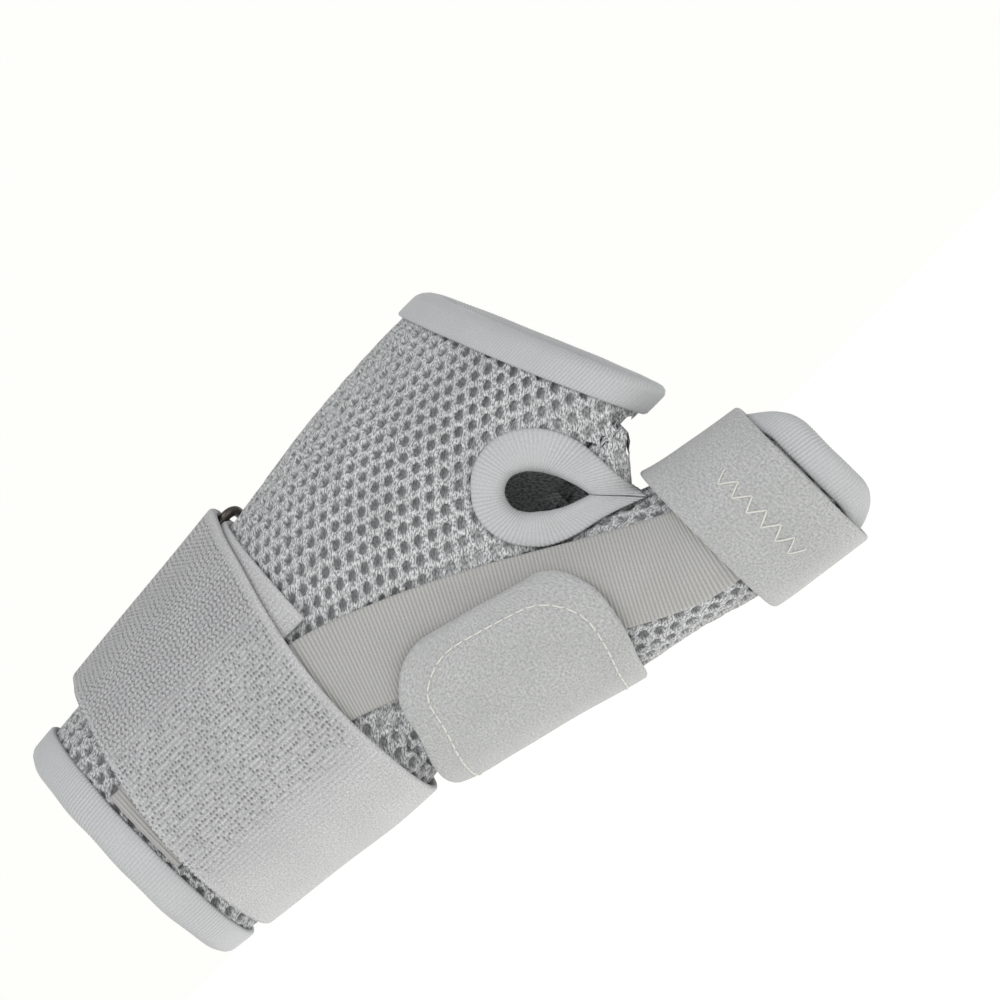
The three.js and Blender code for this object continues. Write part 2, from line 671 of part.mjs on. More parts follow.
const splint = new THREE.Group();
const pieces = [
  ["mesh_sleeve", meshSleeve(), mesh],
  ["forearm_binding", rimBinding(hand, forearmRim, 1, roundHand, forearmBindingWidth), binding],
  ["palm_binding", rimBinding(hand, palmRim, -1, roundHand, palmBindingWidth), binding],
  ["web_binding", webBinding(), binding],
  ["thumb_binding", rimBinding(thumb, thumbRim, -1, roundThumb, thumbBindingWidth), binding],
  ["stay_pocket", stayPocket(), tape],
  ["wrist_strap", wristStrap(), elastic],
  ["strap_ring", strapRing(), steel],
  ["ring_tab", ringTab(), tape],
  ["thumb_base_strap", thumbBaseStrap(), brushed],
  ["thumb_strap", thumbStrap(), brushed],
];
for (const [name, geometry, finish] of pieces) {
  geometry.computeVertexNormals();
  const piece = new THREE.Mesh(geometry, new THREE.MeshStandardMaterial(finish));
  piece.name = name;
  splint.add(piece);
}

export default splint;
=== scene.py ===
import math
import bpy
import numpy as np
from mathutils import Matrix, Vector


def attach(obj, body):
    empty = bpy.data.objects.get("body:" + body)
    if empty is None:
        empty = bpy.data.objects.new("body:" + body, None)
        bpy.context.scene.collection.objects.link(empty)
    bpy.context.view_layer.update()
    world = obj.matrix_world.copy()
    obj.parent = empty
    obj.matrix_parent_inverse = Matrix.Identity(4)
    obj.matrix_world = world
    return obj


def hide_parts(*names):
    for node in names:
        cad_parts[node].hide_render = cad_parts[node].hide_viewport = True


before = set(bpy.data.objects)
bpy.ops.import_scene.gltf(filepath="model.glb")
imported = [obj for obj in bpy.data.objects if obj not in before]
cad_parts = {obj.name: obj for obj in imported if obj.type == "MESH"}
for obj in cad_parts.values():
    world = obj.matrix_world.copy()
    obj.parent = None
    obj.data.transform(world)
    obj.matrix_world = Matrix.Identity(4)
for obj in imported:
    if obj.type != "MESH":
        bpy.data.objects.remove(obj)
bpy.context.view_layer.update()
print("Frame loaded with", len(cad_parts), "nodes")

# A grey thumb spica splint for the left hand. Lengths are millimetres, turned to metres when
# a mesh is made. +X runs along the forearm to the fingers, +Z is the back of the hand and
# -Y is the thumb side.
metre = 0.001

# Camera: level with the splint, on its thumb side, rolled so that the fingers point up right
cameraView = {
    "azimuth": 3.0,
    "elevation": 1.0,
    "roll": 45.0,
    "distance": 1.6,
    "viewWidth": 0.2262,  # metres that the frame takes in at the splint
    "target": (0.1174, -0.015, -0.0016),
    "sensorWidth": 36.0,
    "farthest": 50.0,
}


def makeCamera():
    turn, rise = math.radians(cameraView["azimuth"]), math.radians(cameraView["elevation"])
    roll = math.radians(cameraView["roll"])
    back = Vector((math.sin(turn) * math.cos(rise), -math.cos(turn) * math.cos(rise), math.sin(rise)))
    level = Vector((math.cos(turn), math.sin(turn), 0))
    upright = back.cross(level)
    right = level * math.cos(roll) - upright * math.sin(roll)
    up = level * math.sin(roll) + upright * math.cos(roll)
    camera = bpy.data.objects.new("camera", bpy.data.cameras.new("camera"))
    bpy.context.scene.collection.objects.link(camera)
    place = Vector(cameraView["target"]) + back * cameraView["distance"]
    camera.matrix_world = [
        [right[i], up[i], back[i], place[i]] for i in range(3)
    ] + [[0, 0, 0, 1]]
    camera.matrix_world.transpose()
    camera.data.sensor_width = cameraView["sensorWidth"]
    camera.data.lens = cameraView["sensorWidth"] * cameraView["distance"] / cameraView["viewWidth"]
    camera.data.clip_end = cameraView["farthest"]
    bpy.context.scene.camera = camera


makeCamera()

# Form of the sleeve, the same that the solids have

sleeveForm = {
    "wall": 3.0,
    "forearmWidth": 62.0,
    "forearmDepth": 54.0,
    "palmWidth": 81.0,
    "palmDepth": 34.6,
    "palmReach": 158.7,  # X of the palm opening at the height of the origin
    "palmRimInset": 2.9,  # from there back to the cloth's edge, inside its binding
    "palmRimLean": 24.5,  # degrees that the palm rim leans back
    "thumbBaseWidth": 46.0,
    "thumbWidth": 33.0,
    "thumbReach": 177.5,
    "thumbTabLength": 7.0,  # how far the thumb rim's front stands past the rest of it
    "thumbTabFull": 0.85,  # share of the way to the tab's middle where it is all there
    "webHeight": 40.0,
    "webDepth": 32.0,
    "soften": 3.0,  # width of the round inner corners between the tubes
}
# share of palmReach, side and rise of palmWidth, flare, flat, lean in degrees
handRows = [
    (0, 0, 0.01, 0, 0, 20),
    (0.19, 0.012, 0.007, 0.42, -0.05, 25),
    (0.378, 0.025, 0.004, 0.8, -0.1, 31),
    (0.523, 0.043, 0.062, 0.84, -0.14, 42),
    (0.63, 0.06, 0.123, 0.95, 0.22, 50),
    (0.756, 0.078, 0.181, 1, 0.74, 54),
    (0.914, 0.099, 0.206, 1, 1, 56),
    (1.04, 0.11, 0.21, 0.97, 1.04, 56),
]
# share of thumbReach, side and rise of palmWidth, slim, depth as a share of the width
thumbRows = [
    (0.338, -0.06, -0.175, 0.35, 1),
    (0.37, -0.074, -0.198, 0.05, 1),
    (0.451, -0.123, -0.247, 0.06, 1),
    (0.535, -0.173, -0.309, 0.31, 1),
    (0.631, -0.222, -0.383, 0.54, 1),
    (0.721, -0.259, -0.432, 0.69, 1),
    (0.823, -0.296, -0.506, 0.89, 0.98),
    (0.89, -0.321, -0.531, 0.95, 0.97),
    (0.958, -0.346, -0.552, 0.98, 0.96),
    (1.06, -0.375, -0.58, 1, 0.95),
]
# share of palmReach, side and rise of palmWidth, share of webHeight and of webDepth
webRows = [
    (0.5, -0.11, -0.12, 0.9, 0.95),
    (0.63, -0.173, -0.148, 1, 1),
    (0.756, -0.235, -0.16, 0.65, 0.69),
    (0.832, -0.278, -0.175, 0.5, 0.5),
    (0.876, -0.296, -0.176, 0.39, 0.4),
    (0.895, -0.299, -0.16, 0.31, 0.36),
    (0.914, -0.303, -0.14, 0.21, 0.3),
    (0.939, -0.309, -0.117, 0.125, 0.22),
]


def mix(a, b, share):
    return a + (b - a) * share


def smoothStep(x, low, high):
    p = np.clip((x - low) / (high - low), 0, 1)
    return p * p * (3 - 2 * p)


def unit(vectors):
    return vectors / np.linalg.norm(vectors, axis=-1, keepdims=True)


def lengthsAlong(line):
    return np.concatenate([[0], np.cumsum(np.linalg.norm(np.diff(line, axis=0), axis=1))])


# A smooth curve through rows of values, each slope the mean of the chords beside it.
def curveThrough(places, values):
    chords = np.diff(values, axis=0) / np.diff(places).reshape(-1, *[1] * (values.ndim - 1))
    slopes = np.concatenate([chords[:1], (chords[1:] + chords[:-1]) / 2, chords[-1:]])

    def at(x):
        x = np.clip(np.asarray(x, float), places[0], places[-1])
        i = np.clip(np.searchsorted(places, x, side="right") - 1, 0, len(places) - 2)
        tall = (...,) + (None,) * (values.ndim - 1)
        gap = (places[i + 1] - places[i])[tall]
        p = (x - places[i])[tall] / gap
        start = values[i] * (2 * p**3 - 3 * p**2 + 1) + slopes[i] * gap * (p**3 - 2 * p**2 + p)
        return start + values[i + 1] * (3 * p**2 - 2 * p**3) + slopes[i + 1] * gap * (p**3 - p**2)

    return at


def throughRows(rows, scale=1.0):
    table = np.array(rows, float)
    return curveThrough(table[:, 0] * scale, table[:, 1:])


handAt = throughRows(handRows, sleeveForm["palmReach"])
thumbAt = throughRows(thumbRows, sleeveForm["thumbReach"])
webAt = throughRows(webRows, sleeveForm["palmReach"])


# Each tube gives its oval section at an X: its middle, its half sizes and its lean.
def hand(x):
    side, rise, flare, flat, lean = np.moveaxis(handAt(x), -1, 0)
    wide = mix(sleeveForm["forearmWidth"], sleeveForm["palmWidth"], flare) / 2
    deep = mix(sleeveForm["forearmDepth"], sleeveForm["palmDepth"], flat) / 2
    return side * sleeveForm["palmWidth"], rise * sleeveForm["palmWidth"], wide, deep, np.radians(lean)


def thumb(x):
    side, rise, slim, deep = np.moveaxis(thumbAt(x), -1, 0)
    wide = mix(sleeveForm["thumbBaseWidth"], sleeveForm["thumbWidth"], slim) / 2
    return side * sleeveForm["palmWidth"], rise * sleeveForm["palmWidth"], wide, wide * deep, 0 * wide


def web(x):
    side, rise, high, deep = np.moveaxis(webAt(x), -1, 0)
    wide = high * sleeveForm["webHeight"] / 2
    thick = deep * sleeveForm["webDepth"] / 2
    return side * sleeveForm["palmWidth"], rise * sleeveForm["palmWidth"], wide, thick, 0 * wide


tubeEnds = {
    hand: (0, handRows[-1][0] * sleeveForm["palmReach"]),
    thumb: (thumbRows[0][0] * sleeveForm["thumbReach"], thumbRows[-1][0] * sleeveForm["thumbReach"]),
    web: (webRows[0][0] * sleeveForm["palmReach"], webRows[-1][0] * sleeveForm["palmReach"]),
}
wholeSleeve = (hand, thumb, web)


def acrossSection(section, y, z):
    cy, cz, wide, deep, lean = section
    p = (y - cy) * np.sin(lean) + (z - cz) * np.cos(lean)
    q = (z - cz) * np.sin(lean) - (y - cy) * np.cos(lean)
    return p, q, wide, deep


# Height of a point over a tube: how much both half sizes of its oval grow to reach it.
def heightOver(tube, x, y, z):
    p, q, wide, deep = acrossSection(tube(x), y, z)
    least = 0.3 - np.minimum(wide, deep)
    grow = np.maximum((np.hypot(p / wide, q / deep) - 1) * np.minimum(wide, deep), least)
    for _ in range(5):
        a, b = wide + grow, deep + grow
        over = (p / a) ** 2 + (q / b) ** 2 - 1
        fall = 2 * (p**2 / a**3 + q**2 / b**3) + 1e-9
        grow = np.maximum(grow + np.clip(over / fall, -6, 6), least)
    start, end = tubeEnds[tube]
    return grow + 2 * np.maximum(0, np.maximum(start - x, x - end))


# Height over several tubes, rounded where they meet.
def heightOf(tubes, x, y, z):
    soften = sleeveForm["soften"]
    low = heightOver(tubes[0], x, y, z)
    for tube in tubes[1:]:
        other = heightOver(tube, x, y, z)
        share = np.clip(0.5 + 0.5 * (other - low) / soften, 0, 1)
        low = mix(other, low, share) - soften * share * (1 - share)
    return low


def crossings(tube, grow, x, y, z, dy, dz):
    section = tube(x)
    p, q, wide, deep = acrossSection(section, y, z)
    dp, dq, _, _ = acrossSection((0, 0, 1, 1, section[4]), dy, dz)
    p, q, dp, dq = p / (wide + grow), q / (deep + grow), dp / (wide + grow), dq / (deep + grow)
    a = dp**2 + dq**2
    b = (p * dp + q * dq) / a
    inside = b * b - (p**2 + q**2 - 1) / a
    start, end = tubeEnds[tube]
    inside = np.where((x < start - 0.01) | (x > end + 0.01), -1e6, inside)
    half = np.sqrt(np.maximum(0, inside))
    return -b - half, -b + half, inside


# Moves points along their lines to where the rounded form has the height asked for.
def settle(tubes, x, y, z, dy, dz, reach, rise):
    if len(tubes) == 1:
        return reach
    first, probe = reach, 0.2
    for _ in range(5):
        here = heightOf(tubes, x, y + dy * reach, z + dz * reach)
        further = heightOf(tubes, x, y + dy * (reach + probe), z + dz * (reach + probe))
        slope = np.clip((further - here) / probe, 0.3, 1.5)
        reach = reach + np.clip((rise - here) / slope, -2, 2)
        reach = np.clip(reach, first - 0.5, first + 2 * sleeveForm["soften"])
    return reach


# A point over the sleeve, straight out from a line inside it. turn: 0 at the back of the
# hand, a quarter turn at the thumb side.
def outFrom(tubes, middle, x, turn, rise):
    x, turn, rise = np.broadcast_arrays(np.asarray(x, float), turn, rise)
    y, z = middle(x)[:2]
    dy, dz = -np.sin(turn), np.cos(turn)
    reach = np.full(x.shape, -1e6)
    for tube in tubes:
        _, out, inside = crossings(tube, rise, x, y, z, dy, dz)
        reach = np.maximum(reach, np.where(inside > 0, out, -1e6))
    reach = settle(tubes, x, y, z, dy, dz, reach, rise)
    return np.stack([x, y + dy * reach, z + dz * reach], -1)


# A point over the thumb side of the sleeve, straight out in -Y from a place in X and Z.
def onThumbSide(x, z, rise):
    x, z, rise = np.broadcast_arrays(np.asarray(x, float), z, rise)
    found = [crossings(tube, rise, x, 0 * x, z, 1.0, 0.0) for tube in wholeSleeve]
    least = np.minimum(0, np.max([inside for _, _, inside in found], axis=0))
    y = np.min([np.where(inside >= least, near, 1e6) for near, _, inside in found], axis=0)
    reach = settle(wholeSleeve, x, 0 * x, z, -1.0, 0.0, -y, rise)
    return np.stack([x, -reach, z], -1)


def onTube(tube, x, angle, rise):
    cy, cz, wide, deep, lean = tube(x)
    p = np.maximum(wide + rise, 0.3) * np.cos(angle)
    q = np.maximum(deep + rise, 0.3) * np.sin(angle)
    y = cy + p * np.sin(lean) - q * np.cos(lean)
    z = cz + p * np.cos(lean) + q * np.sin(lean)
    return np.stack([x + 0 * y, y, z], -1)


# Rims: X of the cloth's edge at an angle round its tube.
def forearmRim(angle, rise):
    return 0 * angle


palmEdge = sleeveForm["palmReach"] - sleeveForm["palmRimInset"]


def palmRim(angle, rise):
    x = palmEdge + 0 * angle
    back = math.tan(math.radians(sleeveForm["palmRimLean"]))
    for _ in range(8):
        x = palmEdge - back * onTube(hand, x, angle, rise)[..., 2]
    return x


def thumbRimAt(towardsTab):
    short = 1 - smoothStep(towardsTab, 0, sleeveForm["thumbTabFull"])
    return sleeveForm["thumbReach"] - sleeveForm["thumbTabLength"] * short


def thumbRim(angle, rise):
    return thumbRimAt(np.sin(angle))


# Materials

def linear(hexColour):
    channels = [int(hexColour[i : i + 2], 16) / 255 for i in (1, 3, 5)]
    return [c / 12.92 if c <= 0.04045 else ((c + 0.055) / 1.055) ** 2.4 for c in channels] + [1]


def addNode(tree, kind, inputs=None, **settings):
    made = tree.nodes.new(kind)
    for key, value in settings.items():
        setattr(made, key, value)
    for key, value in (inputs or {}).items():
        if isinstance(value, bpy.types.NodeSocket):
            tree.links.new(value, made.inputs[key])
        else:
            made.inputs[key].default_value = value
    return made


def newMaterial(name, look):
    material = bpy.data.materials.new(name)
    material.use_nodes = True
    tree = material.node_tree
    tree.nodes.clear()
    settings = {"Roughness": look["roughness"], "Metallic": look.get("metallic", 0.0)}
    settings["Sheen Weight"] = look.get("sheen", 0.0)
    shader = addNode(tree, "ShaderNodeBsdfPrincipled", settings)
    addNode(tree, "ShaderNodeOutputMaterial", {"Surface": shader.outputs[0]})
    return material, tree, shader


# Knitted loops by their place along the strap: rows of V loops first, then cross ribs with a small open loop
# between every two yarns, and only fuzz after that. One edge stays smooth. The strength given is painted
# shade in the loops and open loops, and it also sinks them by the bump.
def knitLoops(tree, place, fibre, look):
    loopLength, loopWidth = look["loops"]
    ribPitch, dotPitch = look["dots"]
    onStrap = addNode(tree, "ShaderNodeSeparateXYZ", {0: place}).outputs
    rows = addNode(tree, "ShaderNodeMapping", {
        "Vector": place, "Scale": (1 / loopLength, 1 / loopWidth, 1),
    }).outputs[0]
    inRows = addNode(tree, "ShaderNodeSeparateXYZ", {0: rows}).outputs
    bend = addNode(tree, "ShaderNodeMath", {0: inRows[0], 1: 0.5}, operation="PINGPONG").outputs[0]
    lines = addNode(tree, "ShaderNodeMath", {0: inRows[1], 1: bend}, operation="ADD").outputs[0]
    edge = addNode(tree, "ShaderNodeMath", {0: lines, 1: 0.5}, operation="PINGPONG").outputs[0]
    holes = addNode(tree, "ShaderNodeMapping", {
        "Vector": place, "Scale": (1 / ribPitch, 1 / dotPitch, 1),
    }).outputs[0]
    hole = addNode(tree, "ShaderNodeTexVoronoi", {
        "Vector": holes, "Scale": 1.0, "Randomness": look["loopUnevenness"],
    }).outputs["Distance"]
    inside = addNode(tree, "ShaderNodeMapRange", {
        "Value": onStrap[1], "From Min": look["smoothFrom"], "To Max": look["loopShade"],
        "From Max": look["smoothFrom"] - look["smoothFade"],
    }).outputs[0]
    veeEnd, veeFull, dotEnd = look["veeEnd"], look["veeEnd"] - look["veeFade"], look["dotEnd"]
    grooves = []
    for fades in (  # what fades the loops, and then the dots, from nothing to all of the one before
        [(onStrap[0], veeEnd, veeFull), (fibre, *look["loopBreaks"]), (edge, *look["loopEdge"])],
        [(onStrap[0], dotEnd, dotEnd - look["dotFade"]), (onStrap[0], veeFull, veeEnd),
         (hole, *look["dotEdge"])],
    ):
        strength = inside
        for value, nothing, everything in fades:
            strength = addNode(tree, "ShaderNodeMapRange", {
                "Value": value, "From Min": nothing, "From Max": everything, "To Max": strength,
            }).outputs[0]
        grooves.append(strength)
    return addNode(tree, "ShaderNodeMath", {0: grooves[0], 1: grooves[1]}, operation="MAXIMUM").outputs[0]


# Cloth of spun or textured yarn: two shades by a fine noise, a slow drift of shade, painted shade that makes
# grooves darker than ridges, and a fibrous bump. Sizes are millimetres on the cloth.
def clothMaterial(name, look):
    material, tree, shader = newMaterial(name, look)
    place = addNode(tree, "ShaderNodeUVMap", uv_map="cloth").outputs[0]
    long, thin, lean = look.get("strokes", (look["fibreSize"], look["fibreSize"], 0))
    strokes = addNode(tree, "ShaderNodeMapping", {
        "Vector": place, "Rotation": (0, 0, math.radians(lean)), "Scale": (long, thin, 1),
    }, vector_type="TEXTURE").outputs[0]
    fibre = addNode(tree, "ShaderNodeTexNoise", {
        "Vector": strokes, "Scale": 1.0, "Detail": 3.0, "Roughness": 0.6,
    }).outputs[0]
    drift = addNode(tree, "ShaderNodeTexNoise", {
        "Vector": place, "Scale": 1 / look["driftSize"], "Detail": 2.0,
    }).outputs[0]
    speckle = addNode(tree, "ShaderNodeMapRange", {
        "Value": fibre, "From Min": 0.5 - look["softness"], "From Max": 0.5 + look["softness"],
    }).outputs[0]
    slow = addNode(tree, "ShaderNodeMapRange", {
        "Value": drift, "From Min": 0.3, "From Max": 0.7, "To Min": 0.0, "To Max": look["drift"],
    }).outputs[0]
    # Painted shade: where the reliefShade mark is below 1 the colour goes towards the grooveShade colour,
    # darker in grooves, cell hollows, stitch dents, fold insides and the layers under the mesh.
    reliefShade = addNode(tree, "ShaderNodeAttribute", attribute_name="reliefShade").outputs["Fac"]
    shade, grooveShade = linear(look["shade"]), linear(look["grooveShade"])
    colour = linear(look["yarn"])
    # A colour Mix node takes its share at 0 and its colours at 6 and 7, and gives them at 2.
    # The colour so far comes in where the row holds none.
    for share, under, over in ((speckle, shade, None), (slow, None, shade), (reliefShade, grooveShade, None)):
        colour = addNode(tree, "ShaderNodeMix", {
            0: share, 6: under or colour, 7: over or colour,
        }, data_type="RGBA").outputs[2]
    height = fibre
    if "loops" in look:
        stand = knitLoops(tree, place, fibre, look)
        # Painted shade in the loops and open loops, in the grooveShade colour
        colour = addNode(tree, "ShaderNodeMix", {
            0: stand, 6: colour, 7: grooveShade,
        }, data_type="RGBA").outputs[2]
        height = addNode(tree, "ShaderNodeMath", {0: fibre, 1: stand}, operation="SUBTRACT").outputs[0]
    bump = addNode(tree, "ShaderNodeBump", {
        "Height": height, "Strength": look["fibreStand"], "Distance": look["fibreSize"] * metre,
    }).outputs[0]
    tree.links.new(colour, shader.inputs["Base Color"])
    tree.links.new(bump, shader.inputs["Normal"])
    return material


# Warp-knitted polyester spacer fabric: matt, speckled yarn, with open cells that go dark
airMesh = clothMaterial("knitted_spacer_mesh", {
    "yarn": "#E0E1E3", "shade": "#77787B", "grooveShade": "#5F6063", "roughness": 0.95, "sheen": 0.15,
    "fibreSize": 0.5, "driftSize": 14, "softness": 0.09, "drift": 0.2, "fibreStand": 0.9,
    "strokes": (0.9, 0.36, -45),  # drawn a little coarser than the yarn's own 0.3 mm
})
# Knitted nylon edge tape: smoother and lighter than the mesh, with fine cross ribs
edgeTape = clothMaterial("knitted_nylon_edge_tape", {
    "yarn": "#CECFD2", "shade": "#B2B3B6", "grooveShade": "#87888A", "roughness": 0.85, "sheen": 0.1,
    "fibreSize": 0.4, "driftSize": 9, "softness": 0.2, "drift": 0.3, "fibreStand": 0.35,
})
# Woven elastic-ribbed polyester tape: warm grey, with close cross ribs
ribbedTape = clothMaterial("ribbed_polyester_tape", {
    "yarn": "#BEBDBC", "shade": "#A2A1A0", "grooveShade": "#7C7B7B", "roughness": 0.85, "sheen": 0.1,
    "fibreSize": 0.35, "driftSize": 11, "softness": 0.2, "drift": 0.3, "fibreStand": 0.35,
})
# Knitted elastic, covered rubber in nylon loops: light grey, with cross ribs and open loops
knittedElastic = clothMaterial("knitted_nylon_elastic", {
    "yarn": "#D0D0D2", "shade": "#A0A0A3", "grooveShade": "#68696C", "roughness": 0.8, "sheen": 0.1,
    "fibreSize": 0.45, "driftSize": 12, "softness": 0.17, "drift": 0.25, "fibreStand": 0.6,
    "loops": (2.3, 1.3),  # length and width, about twice those of the knit, so that they show
    "dots": (1.24, 0.9),  # rib to rib, and yarn to yarn
    # loopShade: the most painted shade that the loops and open loops get
    "loopUnevenness": 0.4, "loopShade": 0.9,
    "loopBreaks": (0.62, 0.4), "loopEdge": (0.22, 0.46), "dotEdge": (0.4, 0.15),
    "veeEnd": 112, "veeFade": 5, "dotEnd": 148, "dotFade": 6,  # along the strap
    "smoothFrom": 48.4, "smoothFade": 0.8,  # across it
})
# Brushed nylon loop pile: a soft matt nap that hook tape grips
brushedLoop = clothMaterial("brushed_nylon_loop", {
    "yarn": "#BEBFC0", "shade": "#959697", "grooveShade": "#818283", "roughness": 1.0, "sheen": 0.3,
    "fibreSize": 0.6, "driftSize": 10, "softness": 0.16, "drift": 0.25, "fibreStand": 0.6,
})
# Spun polyester sewing thread: pale, slightly shiny
sewingThread = clothMaterial("polyester_sewing_thread", {
    "yarn": "#DDDCD7", "shade": "#C4C3BD", "grooveShade": "#9C9B95", "roughness": 0.6, "sheen": 0.1,
    "fibreSize": 0.3, "driftSize": 5, "softness": 0.3, "drift": 0.2, "fibreStand": 0.3,
})


# Drawn steel wire with a dark nickel plating: a soft gleam along the wire
def platedWire():
    look = {
        "roughness": 0.34, "metallic": 1.0, "bright": "#77716C", "dull": "#4B4642",
        "spot": 0.9,  # millimetres, size of the worn spots
        "bump": 0.08, "bumpHeight": 0.2,
    }
    material, tree, shader = newMaterial("plated_steel_wire", look)
    place = addNode(tree, "ShaderNodeTexCoord").outputs["Object"]
    grain = addNode(tree, "ShaderNodeTexNoise", {
        "Vector": place, "Scale": 1 / (look["spot"] * metre), "Detail": 3.0,
    }).outputs[0]
    colour = addNode(tree, "ShaderNodeMix", {
        0: grain, 6: linear(look["dull"]), 7: linear(look["bright"]),
    }, data_type="RGBA").outputs[2]
    bump = addNode(tree, "ShaderNodeBump", {
        "Height": grain, "Strength": look["bump"], "Distance": look["bumpHeight"] * metre,
    })
    tree.links.new(colour, shader.inputs["Base Color"])
    tree.links.new(bump.outputs[0], shader.inputs["Normal"])
    return material


steelWire = platedWire()

# Making pieces


def makePiece(name, points, faces, corners, material, nodes=(), reliefShade=None):
    mesh = bpy.data.meshes.new(name)
    mesh.from_pydata((np.asarray(points) * metre).tolist(), [], faces)
    layer = mesh.uv_layers.new(name="cloth")
    layer.data.foreach_set("uv", np.asarray(corners, np.float32).ravel())
    marks = mesh.attributes.new("reliefShade", "FLOAT", "POINT")
    values = np.ones(len(points)) if reliefShade is None else np.asarray(reliefShade).ravel()
    marks.data.foreach_set("value", values.astype(np.float32))
    mesh.materials.append(material)
    mesh.shade_smooth()
    piece = bpy.data.objects.new(name, mesh)
    bpy.context.scene.collection.objects.link(piece)
    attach(piece, "root")
    if nodes:
        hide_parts(*nodes)
    return piece


# A closed surface through loops of points, each loop as long as the next. A ring's loops run
# on into the first one, and otherwise both ends are closed.
def gridFaces(points, ring, alongMarks, acrossMarks):
    rows, count = points.shape[:2]
    i, j = np.meshgrid(np.arange(rows if ring else rows - 1), np.arange(count), indexing="ij")
    below, side = (i + 1) % rows, (j + 1) % count
    quads = np.stack([i * count + j, i * count + side, below * count + side, below * count + j], -1)
    s = np.stack([alongMarks[i], alongMarks[i], alongMarks[i + 1], alongMarks[i + 1]], -1)
    w = np.stack([acrossMarks[j], acrossMarks[j + 1], acrossMarks[j + 1], acrossMarks[j]], -1)
    quads = quads.reshape(-1, 4)
    uv = np.stack([s, w], -1).reshape(-1, 4, 2)
    flat = points.reshape(-1, 3)
    a, b, c, d = (flat[quads[:, k]] for k in range(4))
    volume = np.einsum("ij,ij->", a, np.cross(b, c)) + np.einsum("ij,ij->", a, np.cross(c, d))
    ends = []
    if not ring:
        for first, turned in ((0, True), ((rows - 1) * count, False)):
            for k in range(1, count // 2 - 1):
                face = [first + k, first + k + 1, first + count - k - 1, first + count - k]
                ends.append(face[::-1] if turned else face)
            for k in ((0, 1, count - 1), (count // 2 - 1, count // 2, count // 2 + 1)):
                face = [first + k[0], first + k[1], first + k[2]]
                ends.append(face[::-1] if turned else face)
    if volume < 0:
        quads, uv, ends = quads[:, ::-1], uv[:, ::-1], [face[::-1] for face in ends]
    marks = np.stack(np.broadcast_arrays(alongMarks[:rows, None], acrossMarks[None, :count]), -1)
    endCorners = [marks.reshape(-1, 2)[face] for face in ends]
    corners = np.concatenate([uv.reshape(-1, 2), *endCorners]) if ends else uv.reshape(-1, 2)
    return quads.tolist() + ends, corners


# Length along the middle of a strip, and the way back from a length to the strip's own steps.
def measured(place, start, end, count=300):
    u = np.linspace(start, end, count)
    line = place(u, np.full(count, 0.5), np.ones(count))
    s = lengthsAlong(line)
    return s[-1], lambda at: np.interp(at, s, u)


# Section of a strip with round edges: distances across from its left edge, and 0 to 1 from
# its lower face to its upper one, once round.
def roundedSection(width, thickness, rows):
    half = thickness / 2
    bend = np.linspace(0, np.pi / 2, 4)
    inner = np.linspace(half, width - half, rows + 1)[1:-1]
    upper = np.concatenate([half * (1 - np.cos(bend)), inner, width - half * (1 - np.cos(bend[::-1]))])
    rise = np.concatenate([np.sin(bend), np.ones(rows - 1), np.sin(bend[::-1])]) / 2
    across = np.concatenate([upper, upper[1:-1][::-1]])
    face = np.concatenate([0.5 + rise, 0.5 - rise[1:-1][::-1]])
    return across, face


# A strip of cloth. place gives points for lengths along, shares across and heights, 0 to 1 through its
# thickness. reliefShade gives a rise in millimetres, and a mark of painted shade, 0 for the groove colour in
# a groove to 1 for none on a ridge.
def clothStrip(name, place, length, form, material, nodes, reliefShade=None, edge=None):
    width, thickness = form["width"], form["thickness"]
    half = thickness / 2
    near = half * (1 - np.cos(np.linspace(0.25, np.pi / 2, 4)))[:-1]
    count = int(math.ceil((length - 2 * half) / form["step"]))
    s = np.concatenate([near, np.linspace(half, length - half, count + 1), length - near[::-1]])
    across, face = roundedSection(width, thickness, form["rows"])
    fromEnd = np.minimum(half, np.minimum(s, length - s))
    slim = np.sqrt(1 - (1 - fromEnd / half) ** 2)
    alongAll, acrossAll = np.meshgrid(s, across, indexing="ij")
    share = acrossAll / width if edge is None else edge(alongAll, acrossAll / width)
    heights = 0.5 + (face[None, :] - 0.5) * slim[:, None]
    mark = np.ones_like(heights)
    if reliefShade is not None:
        rise, mark = reliefShade(alongAll, acrossAll)
        strength = np.clip(np.abs(face - 0.5) * 4 - 1, 0, 1) * np.sign(face - 0.5)
        heights = heights + strength[None, :] * rise / thickness
    points = place(alongAll.ravel(), share.ravel(), heights.ravel()).reshape(*heights.shape, 3)
    below = np.arange(len(across)) > len(across) // 2
    acrossMarks = np.append(np.where(below, 2 * width - across, across), 2 * width)
    faces, corners = gridFaces(points, False, np.append(s, s[-1]), acrossMarks)
    return makePiece(name, points.reshape(-1, 3), faces, corners, material, nodes, mark)


